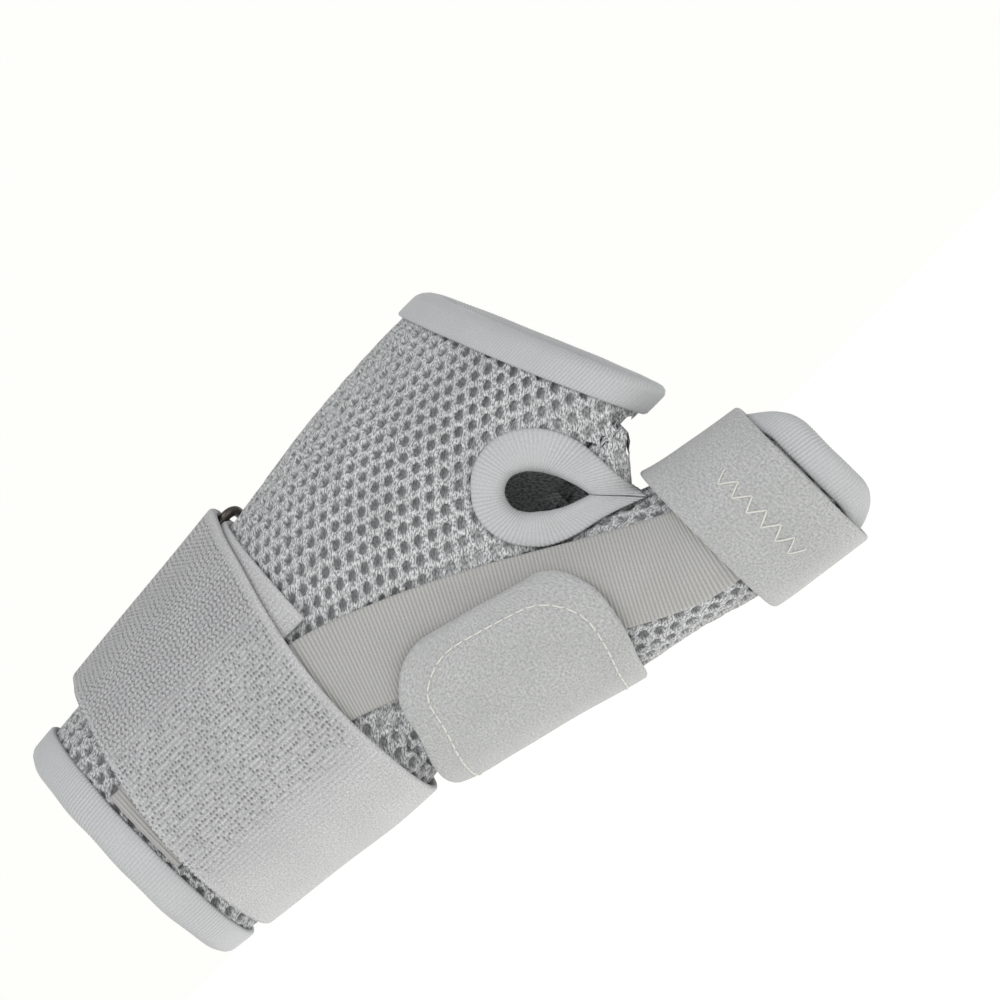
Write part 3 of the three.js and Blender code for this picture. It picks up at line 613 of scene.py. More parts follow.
# Stitches: short lengths of thread that come up through the cloth and go down again, each
# from one of starts to one of stops, with the way out of the cloth in outs.
def makeStitches(name, starts, stops, outs, form):
    shares = np.array([-0.04, 0.1, 0.3, 0.5, 0.7, 0.9, 1.04])
    lift = np.array([-0.9, 0.15, 0.8, 1.0, 0.8, 0.15, -0.9]) * form["lift"]
    girth = np.array([0.5, 0.9, 1, 1, 1, 0.9, 0.5]) * form["thread"] / 2
    around = np.linspace(0, 2 * np.pi, 7)[:-1]
    points, faces, corners = [], [], []
    for start, stop, out in zip(starts, stops, outs):
        way = stop - start
        side = np.cross(way, out)
        side /= np.linalg.norm(side)
        first = len(points) * len(around)
        for share, rise, radius in zip(shares, lift, girth):
            middle = start + way * share + out * rise
            points.append([middle + radius * (side * math.cos(a) + out * math.sin(a)) for a in around])
        for i in range(len(shares) - 1):
            for j in range(6):
                a, b = first + i * 6 + j, first + i * 6 + (j + 1) % 6
                faces.append([a, b, b + 6, a + 6])
        faces.append([first + j for j in range(6)][::-1])
        faces.append([first + (len(shares) - 1) * 6 + j for j in range(6)])
    points = np.array(points).reshape(-1, 3)
    corners = [points[k][:2] for face in faces for k in face]
    return makePiece(name, points, faces, corners, sewingThread)


print("Materials and tools ready")

# Teardrop hole in the web between palm and thumb

holeForm = {
    "length": 22.5,
    "width": 12.5,
    "along": 126.8,  # X and Z of its middle
    "rise": -7.7,
    "tilt": -47.0,  # degrees from +X to its tip
    "depth": 13.0,  # of the cut, which takes in the front wall alone
    "fullness": 0.77,
}


def holeEdge(around, outwards):
    along = holeForm["length"] / 2 * np.cos(around)
    across = holeForm["width"] / 2 / holeForm["fullness"] * np.sin(around) * np.sin(around / 2)
    outX, outZ = along + holeForm["length"] / 8, across
    far = np.hypot(outX, outZ)
    along, across = along + outX / far * outwards, across + outZ / far * outwards
    tilt = math.radians(holeForm["tilt"])
    x = holeForm["along"] + along * math.cos(tilt) - across * math.sin(tilt)
    return x, holeForm["rise"] + along * math.sin(tilt) + across * math.cos(tilt)


holeFront = onThumbSide(np.array([holeForm["along"]]), np.array([holeForm["rise"]]), np.array([0.0]))
holeBack = holeFront[0, 1] + holeForm["depth"]


def insideHole(points, outwards):
    edgeX, edgeZ = holeEdge(np.linspace(0, 2 * np.pi, 49), outwards)
    x, z = points[..., 0], points[..., 2]
    inside = np.zeros(x.shape, bool)
    for i in range(48):
        spans = (edgeZ[i] > z) != (edgeZ[i + 1] > z)
        rise = np.where(edgeZ[i + 1] == edgeZ[i], 1, edgeZ[i + 1] - edgeZ[i])
        inside ^= spans & (x < (edgeX[i + 1] - edgeX[i]) * (z - edgeZ[i]) / rise + edgeX[i])
    return inside & (points[..., 1] < holeBack)


# Mesh sleeve: open cells in rows, each an oval dip with its own rim, over a plain lining. The hollows and
# the layers seen through them carry painted shade.

meshForm = {
    "rowStep": (3.25, 1.3),  # from a cell to its neighbour, along X and round the sleeve
    "lineStep": (-2.7, 3.5),
    "cellLength": 3.3,
    "cellWidth": 2.45,
    "cellTurn": -45.0,  # degrees of the cell's long way from +X
    "cellDepth": 1.1,
    "yarnStand": 0.12,
    "hidden": (21, 56),  # X between which the wrist strap covers it: the cells are plain there
    "liningStep": 3.0,
    "groundDepth": 1.2,
    "groundStep": 1.2,
    "faintNear": 9.0,  # distance from the hole's middle within which the cells are faint
    "faintFar": 24.0,
    "faintLow": -8.0,  # height at the pocket, below which they are faint too
    "faintHigh": 3.0,
    "faintLeast": 0.45,
    "mostStretch": 2.0,  # of a cell: more would bridge a fold of the sleeve
    "seamTurn": 250.0,
    "seamWidth": 4.6,
    "seamRise": 0.5,
    "seamStitch": 1.6,
    "seamOverrun": 0.115,  # radians that the cells run on under the seam's welt
    "numbersAlong": (-60, 120),  # of the rows and lines of cells that are tried
    "numbersRound": (-60, 100),
    # cellRings: rim, wall and floor of each cell; the third number is painted shade, 1 for none down to the
    # groove colour at 0, darker deeper in the hollow
    "cellRings": ((1.0, 0.0, 1.0), (0.8, 0.7, 0.4), (0.0, 1.0, 0.1)),  # size, depth, shade
    # plainShade: a little painted shade on the plain cells under the wrist strap
    "plainShade": 0.8,
    "pocketSide": (12.0, 20.0),  # from the hand's middle to where the cells begin to be faint
    "pocketAlong": (55.0, 70.0),
    "pocketFar": (20.0, 24.0),
    "tubeOverlap": 3.4,  # how far a tube's cloth runs on inside another one
    "liningOverlap": 4.6,
    "rimInset": 2.5,  # from the cloth's edge back to where its cells end, under the binding
    "thumbRimInset": 2.0,
    "behind": 0.8,  # depth below the outermost cloth from which cloth counts as hidden
    "turnedFront": 0.3,  # cosine of the turn from the hand's middle, beyond which web cloth
    "turnedBack": 0.4,  # gets its cells from the web's own chart
    "backSunk": 0.25,
}


def clothChart(tubes, middle, start, end, seam):
    stations = np.linspace(start, end, int(end - start) + 1)
    apart = stations[1] - stations[0]
    past = meshForm["seamOverrun"]
    turns = np.linspace(seam - 2 * np.pi - past, seam + past, 365)
    surface = outFrom(tubes, middle, stations[:, None], turns[None, :], 0.0)
    steps = np.linalg.norm(np.diff(surface[..., 1:], axis=1), axis=2)
    lengths = np.concatenate([np.zeros((len(stations), 1)), np.cumsum(steps, axis=1)], axis=1)
    lengths -= np.array([np.interp(0, turns, row) for row in lengths])[:, None]
    seamLengths = np.array([np.interp(seam, turns, row) for row in lengths])
    grid = np.linspace(lengths.min(), lengths.max(), 700)
    table = np.array([np.interp(grid, row, turns) for row in lengths])

    def turnAt(x, t):
        station = np.clip((x - start) / apart, 0, len(stations) - 1)
        i = np.minimum(station.astype(int), len(stations) - 2)
        k = np.clip((t - grid[0]) / (grid[1] - grid[0]), 0, len(grid) - 1.001)
        j, p, q = k.astype(int), station - i, k - k.astype(int)
        near = mix(table[i, j], table[i, j + 1], q)
        return mix(near, mix(table[i + 1, j], table[i + 1, j + 1], q), p)

    def place(x, t, rise):
        x = np.clip(x, start, end)
        return outFrom(tubes, middle, x, turnAt(x, t), rise)

    def within(x, t):
        low, high = (np.interp(x, stations, lengths[:, k]) for k in (0, -1))
        return (t > low) & (t < high)

    def seamAt(x):
        return np.interp(x, stations, seamLengths)

    return place, within, seamAt


def meshCells(chart, start, end, keep, plain, sunk=0.0):
    place, within = chart[:2]
    row, line = np.array(meshForm["rowStep"]), np.array(meshForm["lineStep"])
    along, aside = (np.arange(*meshForm[key]) for key in ("numbersAlong", "numbersRound"))
    i, j = np.meshgrid(along, aside, indexing="ij")
    cells = np.stack([i.ravel(), j.ravel()], -1)
    middles = cells[:, :1] * row + cells[:, 1:] * line
    shown = (middles[:, 0] > start) & (middles[:, 0] < end) & within(middles[:, 0], middles[:, 1])
    cells, middles = cells[shown], middles[shown]
    seat = place(middles[:, 0], middles[:, 1], 0.0)
    kept = keep(seat)
    cells, middles, seat = cells[kept], middles[kept], seat[kept]
    steps = np.array([(1, 0), (1, 1), (0, 1), (-1, 0), (-1, -1), (0, -1)])
    keys = 3 * cells[:, None, :] + steps + np.roll(steps, -1, axis=0)
    shared, index = np.unique(keys.reshape(-1, 2), axis=0, return_inverse=True)
    index = index.reshape(-1, 6)
    outline = shared[:, :1] / 3 * row + shared[:, 1:] / 3 * line
    corners = place(outline[:, 0], outline[:, 1], 0.0)[index]
    sides = np.linalg.norm(corners - np.roll(corners, 1, axis=1), axis=2)
    flatSides = np.linalg.norm(outline[index] - np.roll(outline[index], 1, axis=1), axis=2)
    whole = (sides < meshForm["mostStretch"] * flatSides).all(axis=1)
    middles, seat, index = middles[whole], seat[whole], index[whole]
    toCorner = (steps + np.roll(steps, -1, axis=0)) @ np.array([row, line]) / 3
    between = (toCorner + np.roll(toCorner, -1, axis=0)) / 2
    ways = np.stack([toCorner, between], 1).reshape(-1, 2)
    angle = np.arctan2(ways[:, 1], ways[:, 0]) - math.radians(meshForm["cellTurn"])
    longHalf, shortHalf = meshForm["cellLength"] / 2, meshForm["cellWidth"] / 2
    radius = 1 / np.hypot(np.cos(angle) / longHalf, np.sin(angle) / shortHalf)
    oval = unit(ways) * radius[:, None]
    opened = ~plain(seat)
    places = [outline]
    rises = [np.full(len(outline), meshForm["yarnStand"])]
    marks = [np.ones(len(outline))]
    faces = []
    total = len(outline)
    openCells, openIndex = middles[opened], index[opened]
    count = len(openCells)
    strength = cellStrength(seat[opened])[:, None]
    ringStarts = []
    for share, depth, mark in meshForm["cellRings"]:
        points = openCells[:, None, :] + (oval if share else oval[:1]) * share
        places.append(points.reshape(-1, 2))
        flatOnes = np.ones(points.shape[1])[None]
        rises.append((-depth * meshForm["cellDepth"] * strength * flatOnes).ravel())
        # Painted shade, darker deeper in each cell, and fainter where the cell is faint
        marks.append((1 - (1 - mark) * strength * flatOnes).ravel())
        ringStarts.append(total + np.arange(count) * points.shape[1])
        total += points.shape[0] * points.shape[1]
    rim, wall, floor = ringStarts
    for k in range(6):
        a, b = openIndex[:, k], openIndex[:, (k + 1) % 6]
        middle, after = rim + 2 * k + 1, rim + (2 * k + 2) % 12
        faces += [np.stack(f, -1) for f in ((a, b, middle), (a, middle, rim + 2 * k), (b, after, middle))]
    for k in range(12):
        a, b = rim + k, rim + (k + 1) % 12
        c, d = wall + (k + 1) % 12, wall + k
        faces += [np.stack([a, b, c, d], -1), np.stack([d, c, floor], -1)]
    closedCells, closedIndex = middles[~opened], index[~opened]
    places.append(closedCells)
    rises.append(np.zeros(len(closedCells)))
    # Painted shade on the plain cells
    marks.append(np.ones(len(closedCells)) * meshForm["plainShade"])
    hub = total + np.arange(len(closedCells))
    faces += [np.stack([closedIndex[:, k], closedIndex[:, (k + 1) % 6], hub], -1) for k in range(6)]
    flat = np.concatenate(places)
    points = place(flat[:, 0], flat[:, 1], np.concatenate(rises) - sunk)
    shown = []
    for group in faces:
        span, flatSpan = (
            np.linalg.norm(ends[group] - np.roll(ends[group], 1, axis=1), axis=2).max(axis=1)
            for ends in (points, flat)
        )
        shown += group[span < meshForm["mostStretch"] * flatSpan + meshForm["cellDepth"]].tolist()
    return points, shown, flat, np.concatenate(marks)


# Faces of a grid whose rows are count points long, at the places in kept
def gridQuads(kept, count):
    first = kept[:, 0] * count + kept[:, 1]
    return np.stack([first, first + count, first + count + 1, first + 1], -1).tolist()


def liningFaces(tube, start, end, keep, rise, step):
    x = np.linspace(start, end, int((end - start) / step) + 1)
    turns = np.linspace(0, 2 * np.pi, 73)
    points = outFrom((tube,), tube, x[:, None], turns[None, :], rise)
    kept = np.argwhere(keep((points[:-1, :-1] + points[1:, 1:]) / 2))
    return points.reshape(-1, 3), gridQuads(kept, len(turns))


def beforePalmRim(points, inset):
    back = math.tan(math.radians(sleeveForm["palmRimLean"]))
    return points[..., 0] < palmEdge - back * points[..., 2] - inset


def beforeThumbRim(points, inset):
    cy, _, _, deep, _ = thumb(points[..., 0])
    return points[..., 0] < thumbRimAt((cy - points[..., 1]) / deep) - inset


# The cells are pulled flat round the teardrop hole and along the pocket, and their painted shade fades with
# their depth.
def cellStrength(points):
    x, y, z = np.moveaxis(points, -1, 0)
    away = np.hypot(x - holeForm["along"], z - holeForm["rise"])
    share = smoothStep(away, meshForm["faintNear"], meshForm["faintFar"])
    share = np.maximum(share, smoothStep(y - holeBack, -2.0, 2.0))
    byPocket = smoothStep(z, meshForm["faintLow"], meshForm["faintHigh"])
    thumbSide = smoothStep(hand(x)[0] - y, *meshForm["pocketSide"])
    thumbSide = thumbSide * smoothStep(x, *meshForm["pocketAlong"])
    beyondPocket = smoothStep(-z, *meshForm["pocketFar"])
    share = np.minimum(share, 1 - thumbSide * (1 - byPocket) * (1 - beyondPocket))
    return meshForm["faintLeast"] + (1 - meshForm["faintLeast"]) * share


# The seam that closes the sleeve: a low welt with a stitch across it every few yarns, painted darker as
# painted shade where each stitch presses the welt down.
def seamFaces(chart, start, end, keep):
    place, _, seamAt = chart
    x = np.linspace(start, end, int((end - start) / 0.4) + 1)
    across = np.linspace(-0.5, 0.5, 7) * meshForm["seamWidth"]
    shape = np.array([-0.9, 0.55, 0.95, 0.75, 0.95, 0.55, -0.9])
    wave = 0.5 + 0.5 * np.cos(2 * np.pi * x / meshForm["seamStitch"])
    rise = meshForm["seamRise"] * shape[None, :] * (1 - 0.3 * wave[:, None] * (shape > 0))
    middle = np.array([seamAt(value) for value in x])
    points = place(x, middle, 0.0)
    beside = unit(place(x, middle - 1.0, 0.0) - points)
    out = place(x, middle, 1.0) - points
    cloth = points[:, None] - across[None, :, None] * beside[:, None] + rise[..., None] * out[:, None]
    count = len(across)
    shown = np.argwhere(keep((cloth[:-1, :-1] + cloth[1:, 1:]) / 2))
    flat = np.stack(np.broadcast_arrays(x[:, None], across[None, :]), -1).reshape(-1, 2)
    # Painted shade: darker where each stitch presses the welt down
    marks = np.broadcast_to(1 - 0.5 * wave[:, None], (len(x), count)).ravel()
    return cloth.reshape(-1, 3), gridQuads(shown, count), flat, marks


def makeSleeve():
    palmTubes, handEnd, thumbStart = (hand, web), tubeEnds[hand][1], tubeEnds[thumb][0] + 4
    webStart, webEnd = tubeEnds[web]
    thumbEnd = sleeveForm["thumbReach"]
    seat, inset, sunk = meshForm["tubeOverlap"], meshForm["rimInset"], meshForm["backSunk"]
    low, high = meshForm["hidden"]
    seam = math.radians(meshForm["seamTurn"])

    def clearOf(tubes, points, depth):
        x, y, z = np.moveaxis(points, -1, 0)
        return np.min([heightOver(tube, x, y, z) for tube in tubes], axis=0) > -depth

    def trimmed(points):
        return beforePalmRim(points, inset) & ~insideHole(points, inset)

    # Cloth of the web that is turned from the hand's middle gets its cells from the web's chart
    def turnedAway(points, least):
        x, y, z = np.moveaxis(points, -1, 0)
        out = np.stack([y - web(x)[0], z - web(x)[1]], -1)
        way = np.stack([y - hand(x)[0], z - hand(x)[1]], -1)
        lengths = np.linalg.norm(out, axis=-1) * np.linalg.norm(way, axis=-1)
        return (out * way).sum(-1) < least * lengths

    def onPalm(points):
        x, y, z = np.moveaxis(points, -1, 0)
        ofWeb = np.abs(heightOver(web, x, y, z)) < 0.6
        away = ofWeb & turnedAway(points, meshForm["turnedFront"])
        return clearOf((thumb,), points, seat) & trimmed(points) & ~away

    def onThumb(points):
        x, y, z = np.moveaxis(points, -1, 0)
        clear = heightOf(palmTubes, x, y, z) > -seat
        return clear & beforeThumbRim(points, meshForm["thumbRimInset"]) & ~insideHole(points, inset)

    # Parts of hand and web that a ray from the hand's middle meets before the outermost cloth
    def shaded(points):
        x, y, z = np.moveaxis(points, -1, 0)
        cy, cz = hand(x)[:2]
        turn = np.arctan2(cy - y, z - cz)
        outermost = outFrom(palmTubes, hand, x, turn, 0.0)
        return np.linalg.norm((outermost - points)[..., 1:], axis=-1) > meshForm["behind"]

    def behindHand(points):
        return shaded(points) & clearOf((web, thumb), points, seat) & trimmed(points)

    def behindWeb(points):
        behind = shaded(points) | turnedAway(points, meshForm["turnedBack"])
        return behind & clearOf((hand, thumb), points, seat) & trimmed(points)

    def covered(points):
        return (points[..., 0] > low) & (points[..., 0] < high)

    def never(points):
        return points[..., 0] < 0

    palmChart = clothChart(palmTubes, hand, 0, handEnd, seam)
    thumbChart = clothChart((thumb,), thumb, thumbStart, thumbEnd, seam)
    handChart = clothChart((hand,), hand, 0, handEnd, seam)
    webChart = clothChart((web,), web, webStart, webEnd, seam)
    layers = [
        meshCells(palmChart, 1.0, handEnd - 1, onPalm, covered),
        meshCells(thumbChart, thumbStart, thumbEnd, onThumb, never),
        meshCells(handChart, webStart - 6, webEnd + 6, behindHand, never, sunk),
        meshCells(webChart, webStart, webEnd, behindWeb, never, sunk),
    ]
    for chart, start, end, keep in (
        (palmChart, 1.0, handEnd - 1, onPalm),
        (thumbChart, thumbStart, thumbEnd - 1, onThumb),
    ):
        layers.append(seamFaces(chart, start, end, keep))
    for tube, start, end, others in (
        (hand, 0.5, handEnd, (web, thumb)),
        (web, webStart, webEnd, (hand, thumb)),
        (thumb, thumbStart, thumbEnd, (hand, web)),
    ):
        # depth, step, insets from the palm rim, the thumb rim and the hole, and painted shade of the layer
        # under the cells
        for rise, step, palmInset, thumbInset, holeInset, mark in (
            (-sleeveForm["wall"], meshForm["liningStep"], 1.5, 1.5, 0.5, 0.7),
            (-meshForm["groundDepth"], meshForm["groundStep"], 0.4, 1.0, 1.0, 0.6),
        ):
            def keep(points):
                if tube is thumb:
                    before = beforeThumbRim(points, thumbInset)
                else:
                    before = beforePalmRim(points, palmInset)
                clear = clearOf(others, points, meshForm["liningOverlap"])
                return clear & before & ~insideHole(points, holeInset)

            points, faces = liningFaces(tube, start, end, keep, rise, step)
            layers.append((points, faces, points[:, [0, 2]], np.full(len(points), mark)))
    points, faces, flats, marks = [], [], [], []
    first = 0
    for layerPoints, layerFaces, flat, mark in layers:
        used = sorted({k for face in layerFaces for k in face})
        number = dict(zip(used, range(first, first + len(used))))
        points.append(layerPoints[used])
        flats.append(flat[used])
        marks.append(mark[used])
        faces += [[number[k] for k in face] for face in layerFaces]
        first += len(used)
    flats = np.concatenate(flats)
    corners = flats[np.concatenate([np.array(face) for face in faces])]
    piece = makePiece(
        "air_mesh_sleeve", np.concatenate(points), faces, corners, airMesh,
        ["mesh_sleeve"], np.concatenate(marks),
    )
    print("Sleeve made with", len(faces), "faces")


makeSleeve()

# Edge bindings: tape folded round the cloth's edge, knitted in fine cross ribs

bindingForm = {
    "gap": 0.3,
    "thickness": 1.4,
    "ribPitch": 0.87,
    "ribRise": 0.1,
    "stationsPerRib": 4,
    "forearmWidth": 7.0,
    "palmWidth": 6.6,
    "thumbWidth": 6.2,
    "webWidth": 6.0,
    "webTail": 5.2,  # how much wider the web binding is at the hole's tip
    "webUpper": 2.2,  # how much wider it is on the fingers' side of the hole
    "tipCrease": 1.0,  # depth of the crease where the web binding's ends meet
    "tipWidth": 0.09,  # radians
    "pucker": 0.1,
    "forearmPucker": 0.3,
    "puckerWaves": ((3, 1), (5, 2.6), (11, 0)),  # number round the rim, and where each starts
    "ribStrength": 0.62,
    "ribFade": 0.13,
    "fadeWaves": ((2, 0), (5, 1), (9, 2)),
    # plainShade: painted shade on the inside faces of the fold
    "plainShade": 0.8,
}


def foldedProfile(width):
    gap, top = bindingForm["gap"], bindingForm["gap"] + bindingForm["thickness"]
    wall = sleeveForm["wall"]
    middle, reach, tall = -wall / 2, 1.0 + top, wall / 2 + top
    bend = np.radians(np.arange(75, -76, -25))
    outside = [(width, gap), (width - 0.1, top - 0.5), (width - 0.5, top - 0.08)]
    outside += [(mix(1.0, width - 0.5, share), top) for share in (0.67, 0.33, 0)]
    outside += [(1.0 - reach * math.cos(a), middle + tall * math.sin(a)) for a in bend]
    outside += [(mix(1.0, width, share), -wall - top) for share in (0, 0.5, 0.95)]
    outside += [(width, -wall - top + 0.5), (width, -wall - gap)]
    inside = [(mix(1.0, width, share), -wall - gap) for share in (0.5, 0)]
    inside += [(0.1, middle - 1.2), (-gap, middle), (0.1, middle + 1.2)]
    inside += [(mix(1.0, width, share), gap) for share in (0, 0.5)]
    profile = np.array(outside + inside)
    tangent = np.roll(profile, -1, axis=0) - np.roll(profile, 1, axis=0)
    normal = unit(np.stack([-tangent[:, 1], tangent[:, 0]], -1))
    x, y = profile.T
    if np.sum(x * np.roll(y, -1) - y * np.roll(x, -1)) > 0:
        normal = -normal
    normal[len(outside) :] = 0
    normal[0] = 0
    return profile, normal


def wavesRound(turn, waves):
    return sum(np.sin(number * turn + shift) for number, shift in waves)


def makeBinding(name, place, width, nodeName, pucker):
    profile, normal = foldedProfile(width)
    around = np.linspace(0, 2 * np.pi, 721)
    line = place(around, np.full(721, width / 2), np.full(721, bindingForm["gap"]))
    s = lengthsAlong(line)
    ribs = round(s[-1] / bindingForm["ribPitch"])
    stations = ribs * bindingForm["stationsPerRib"]
    at = np.linspace(0, s[-1], stations + 1)
    angles = np.interp(at[:-1], s, around)
    wave = np.cos(2 * np.pi * np.arange(stations) / bindingForm["stationsPerRib"])
    turn = 2 * np.pi * at[:-1] / s[-1]
    fade = bindingForm["ribFade"] * wavesRound(turn, bindingForm["fadeWaves"])
    wave = wave * (bindingForm["ribStrength"] + fade)
    puckers = pucker * wavesRound(turn, bindingForm["puckerWaves"]) / 3
    stand = wave * bindingForm["ribRise"] + puckers
    shaped = profile[None] + normal[None] * stand[:, None, None]
    count = len(profile)
    points = place(np.repeat(angles, count), shaped[..., 0].ravel(), shaped[..., 1].ravel())
    points = points.reshape(stations, count, 3)
    lengths = lengthsAlong(profile)
    faces, corners = gridFaces(points, True, at, np.append(lengths, lengths[-1] + 1))
    ribbed = np.linalg.norm(normal, axis=1) > 0
    # Painted shade: the rib grooves are darker, and the inside faces of the fold get plainShade
    marks = np.where(ribbed, 0.72 + 0.28 * wave[:, None], bindingForm["plainShade"])
    points = points.reshape(-1, 3)
    piece = makePiece(name, points, faces, corners, edgeTape, [nodeName], marks)


def rimPlace(tube, rim, inward):
    def place(around, within, rise):
        return onTube(tube, rim(around, rise) + inward * within, around, rise)

    return place


def webPlace(around, outwards, rise):
    fromTip = np.minimum(around, 2 * np.pi - around)
    crease = np.exp(-((fromTip / bindingForm["tipWidth"]) ** 2))
    tail = bindingForm["webTail"] * np.maximum(0, np.cos(around)) ** 4
    nominal = bindingForm["webWidth"]
    wide = nominal + tail + bindingForm["webUpper"] * np.maximum(0, np.sin(around))
    outwards = np.where(outwards > 1, 1 + (outwards - 1) * (wide - 1) / (nominal - 1), outwards)
    rise = rise - crease * bindingForm["tipCrease"] * np.clip(rise, 0, 1)
    x, z = holeEdge(around, outwards)
    return onThumbSide(x, z, rise)


for part, place, pucker in (
    ("forearm", rimPlace(hand, forearmRim, 1), bindingForm["forearmPucker"]),
    ("palm", rimPlace(hand, palmRim, -1), bindingForm["pucker"]),
    ("thumb", rimPlace(thumb, thumbRim, -1), bindingForm["pucker"]),
):
    makeBinding(part + "_edge_binding", place, bindingForm[part + "Width"], part + "_binding", pucker)
makeBinding("web_hole_binding", webPlace, bindingForm["webWidth"], "web_binding", bindingForm["pucker"])
print("Bindings made")

# Stay pocket: ribbed tape along the thumb side

pocketForm = {
    "width": 22.0,
    "thickness": 1.5,
    "start": 8.0,
    "step": 0.87 / 4,
    "rows": 10,
    "ribPitch": 0.87,
    "ribRise": 0.11,
    "stationStep": 11.0,
}
# share of thumbReach, rise of palmWidth, width as a share
pocketRows = [
    (0, 0.035, 1),
    (0.169, 0.01, 1),
    (0.338, -0.022, 1),
    (0.451, -0.11, 1),
    (0.563, -0.23, 1),
    (0.676, -0.37, 1),
    (0.789, -0.492, 0.98),
    (0.89, -0.535, 0.84),
    (1, -0.552, 0.76),
]
pocketLine = throughRows(pocketRows, sleeveForm["thumbReach"])
pocketEnd = sleeveForm["thumbReach"] - bindingForm["thumbWidth"] - bindingForm["gap"]


def pocketPlace(x, share, face):
    rise, wide = np.moveaxis(pocketLine(x), -1, 0)
    reach, step = pocketForm["stationStep"] / 2, pocketForm["stationStep"]
    climb = (pocketLine(x + reach)[..., 0] - pocketLine(x - reach)[..., 0]) * sleeveForm["palmWidth"]
    slope = np.minimum(0, np.arctan2(climb, 2 * reach))
    off = (share - 0.5) * pocketForm["width"] * wide
    lastSquare = smoothStep(x, pocketEnd - 3 * step, pocketEnd - step)
    firstSquare = 1 - smoothStep(x, pocketForm["start"], pocketForm["start"] + step)
    skew = np.sin(slope) * (1 - np.maximum(lastSquare, firstSquare))
    z = rise * sleeveForm["palmWidth"] + off * np.cos(slope)
    return onThumbSide(x - off * skew, z, bindingForm["gap"] + face * pocketForm["thickness"])


def ribRelief(form):
    def reliefShade(s, w):
        wave = np.cos(2 * np.pi * s / form["ribPitch"])
        # Painted shade: the rib grooves are darker
        return form["ribRise"] * wave, 0.68 + 0.32 * wave

    return reliefShade


def makePocket():
    length, back = measured(pocketPlace, pocketForm["start"], pocketEnd)

    def place(s, share, face):
        return pocketPlace(back(s), share, face)

    piece = clothStrip("stay_pocket_tape", place, length, pocketForm, ribbedTape,
                       ["stay_pocket"], ribRelief(pocketForm))


makePocket()
print("Stay pocket made")

# Wrist strap with its ring: the strap starts flat on the sleeve, goes round the near bar of
# the ring and back over itself, round the wrist

wristForm = {
    "width": 50.0,
    "thickness": 1.8,
    "step": 1.24 / 4,
    "rows": 26,
    "ribPitch": 1.24,
    "ribRise": 0.1,
    "scallop": 0.35,  # how far the elbow-side edge runs in between its loops
    "selvage": 2.2,  # width of the smooth edges
    "firstTurn": 62.0,
    "firstSlant": 10.0,
    "firstSquare": 25.0,
    "firstAlong": 0.271,
    "firstSteps": 12,
    "ringBend": 6.0,
    "gap": 0.3,
    "overSteps": 48,
    "ribsGrow": (60, 95),  # lengths along the strap between which the ribs come and go
    "ribsFade": (135, 160),
    "ribsLeast": 0.45,
    "fuzzSmooths": 0.85,
    "scallopReach": 2.0,
}
ringForm = {
    "wire": 2.4,
    "slot": 8.0,
    "lift": 0.4,
    "sideGap": 1.2,
    "turn": -24.0,
    "gap": 0.5,
    "corner": 1.2,
    "sides": 14,
}
# turn in degrees, share of palmReach of the middle line, lift
strapRows = [
    (4, 0.263, 1),
    (30, 0.254, 1),
    (55, 0.239, 1),
    (80, 0.226, 1),
    (105, 0.218, 1),
    (135, 0.22, 0.45),
    (165, 0.224, 0),
    (200, 0.228, 0),
    (240, 0.237, 0),
    (277, 0.251, 0),
]
ringX = wristForm["firstAlong"] * sleeveForm["palmReach"]
barHeight = ringForm["lift"] + wristForm["thickness"] + ringForm["gap"] + ringForm["wire"] / 2
barSpacing = ringForm["slot"] + ringForm["wire"]


def overWrist(x, turn):
    return outFrom((hand,), hand, np.array([x]), np.array([turn]), np.array([barHeight]))[0]


nearTurn = math.radians(ringForm["turn"])
nearBar = overWrist(ringX, nearTurn)
farTurn = nearTurn - barSpacing / sleeveForm["forearmDepth"]
for _ in range(8):
    apart = np.linalg.norm(nearBar - overWrist(ringX, farTurn))
    farTurn = nearTurn - (nearTurn - farTurn) * barSpacing / apart
farBar = overWrist(ringX, farTurn)
halfStrap, ringTurn = wristForm["width"] / 2, (nearTurn + farTurn) / 2
barWay = overWrist(ringX + halfStrap, ringTurn) - overWrist(ringX - halfStrap, ringTurn)
barWay /= np.linalg.norm(barWay)
acrossRing = nearBar - farBar
acrossRing -= barWay * (acrossRing @ barWay)
acrossRing /= np.linalg.norm(acrossRing)
outOfRing = -np.cross(barWay, acrossRing)
netShares = np.linspace(0, 1, 9)


# One step of a net: points across the strap, at its lower and its upper face.
def layStep(tubes, middle, x, turn, height, thickness, width):
    along = (x + (netShares - 0.5) * width)[:, None] + np.zeros((1, 2))
    rise = height + np.array([[0.0, thickness]]) + np.zeros((len(netShares), 1))
    return outFrom(tubes, middle, along, turn + 0 * along, rise)


def bendStep(bar, way, angle, thickness, width):
    radius = ringForm["wire"] / 2 + ringForm["gap"] + np.array([0.0, thickness])
    along = (ringX + (netShares - 0.5) * width - bar[0]) / barWay[0]
    points = bar + along[:, None, None] * barWay
    points = points + (way * radius * math.cos(angle))[None, :, None] * acrossRing
    return points + (radius * math.sin(angle))[None, :, None] * outOfRing


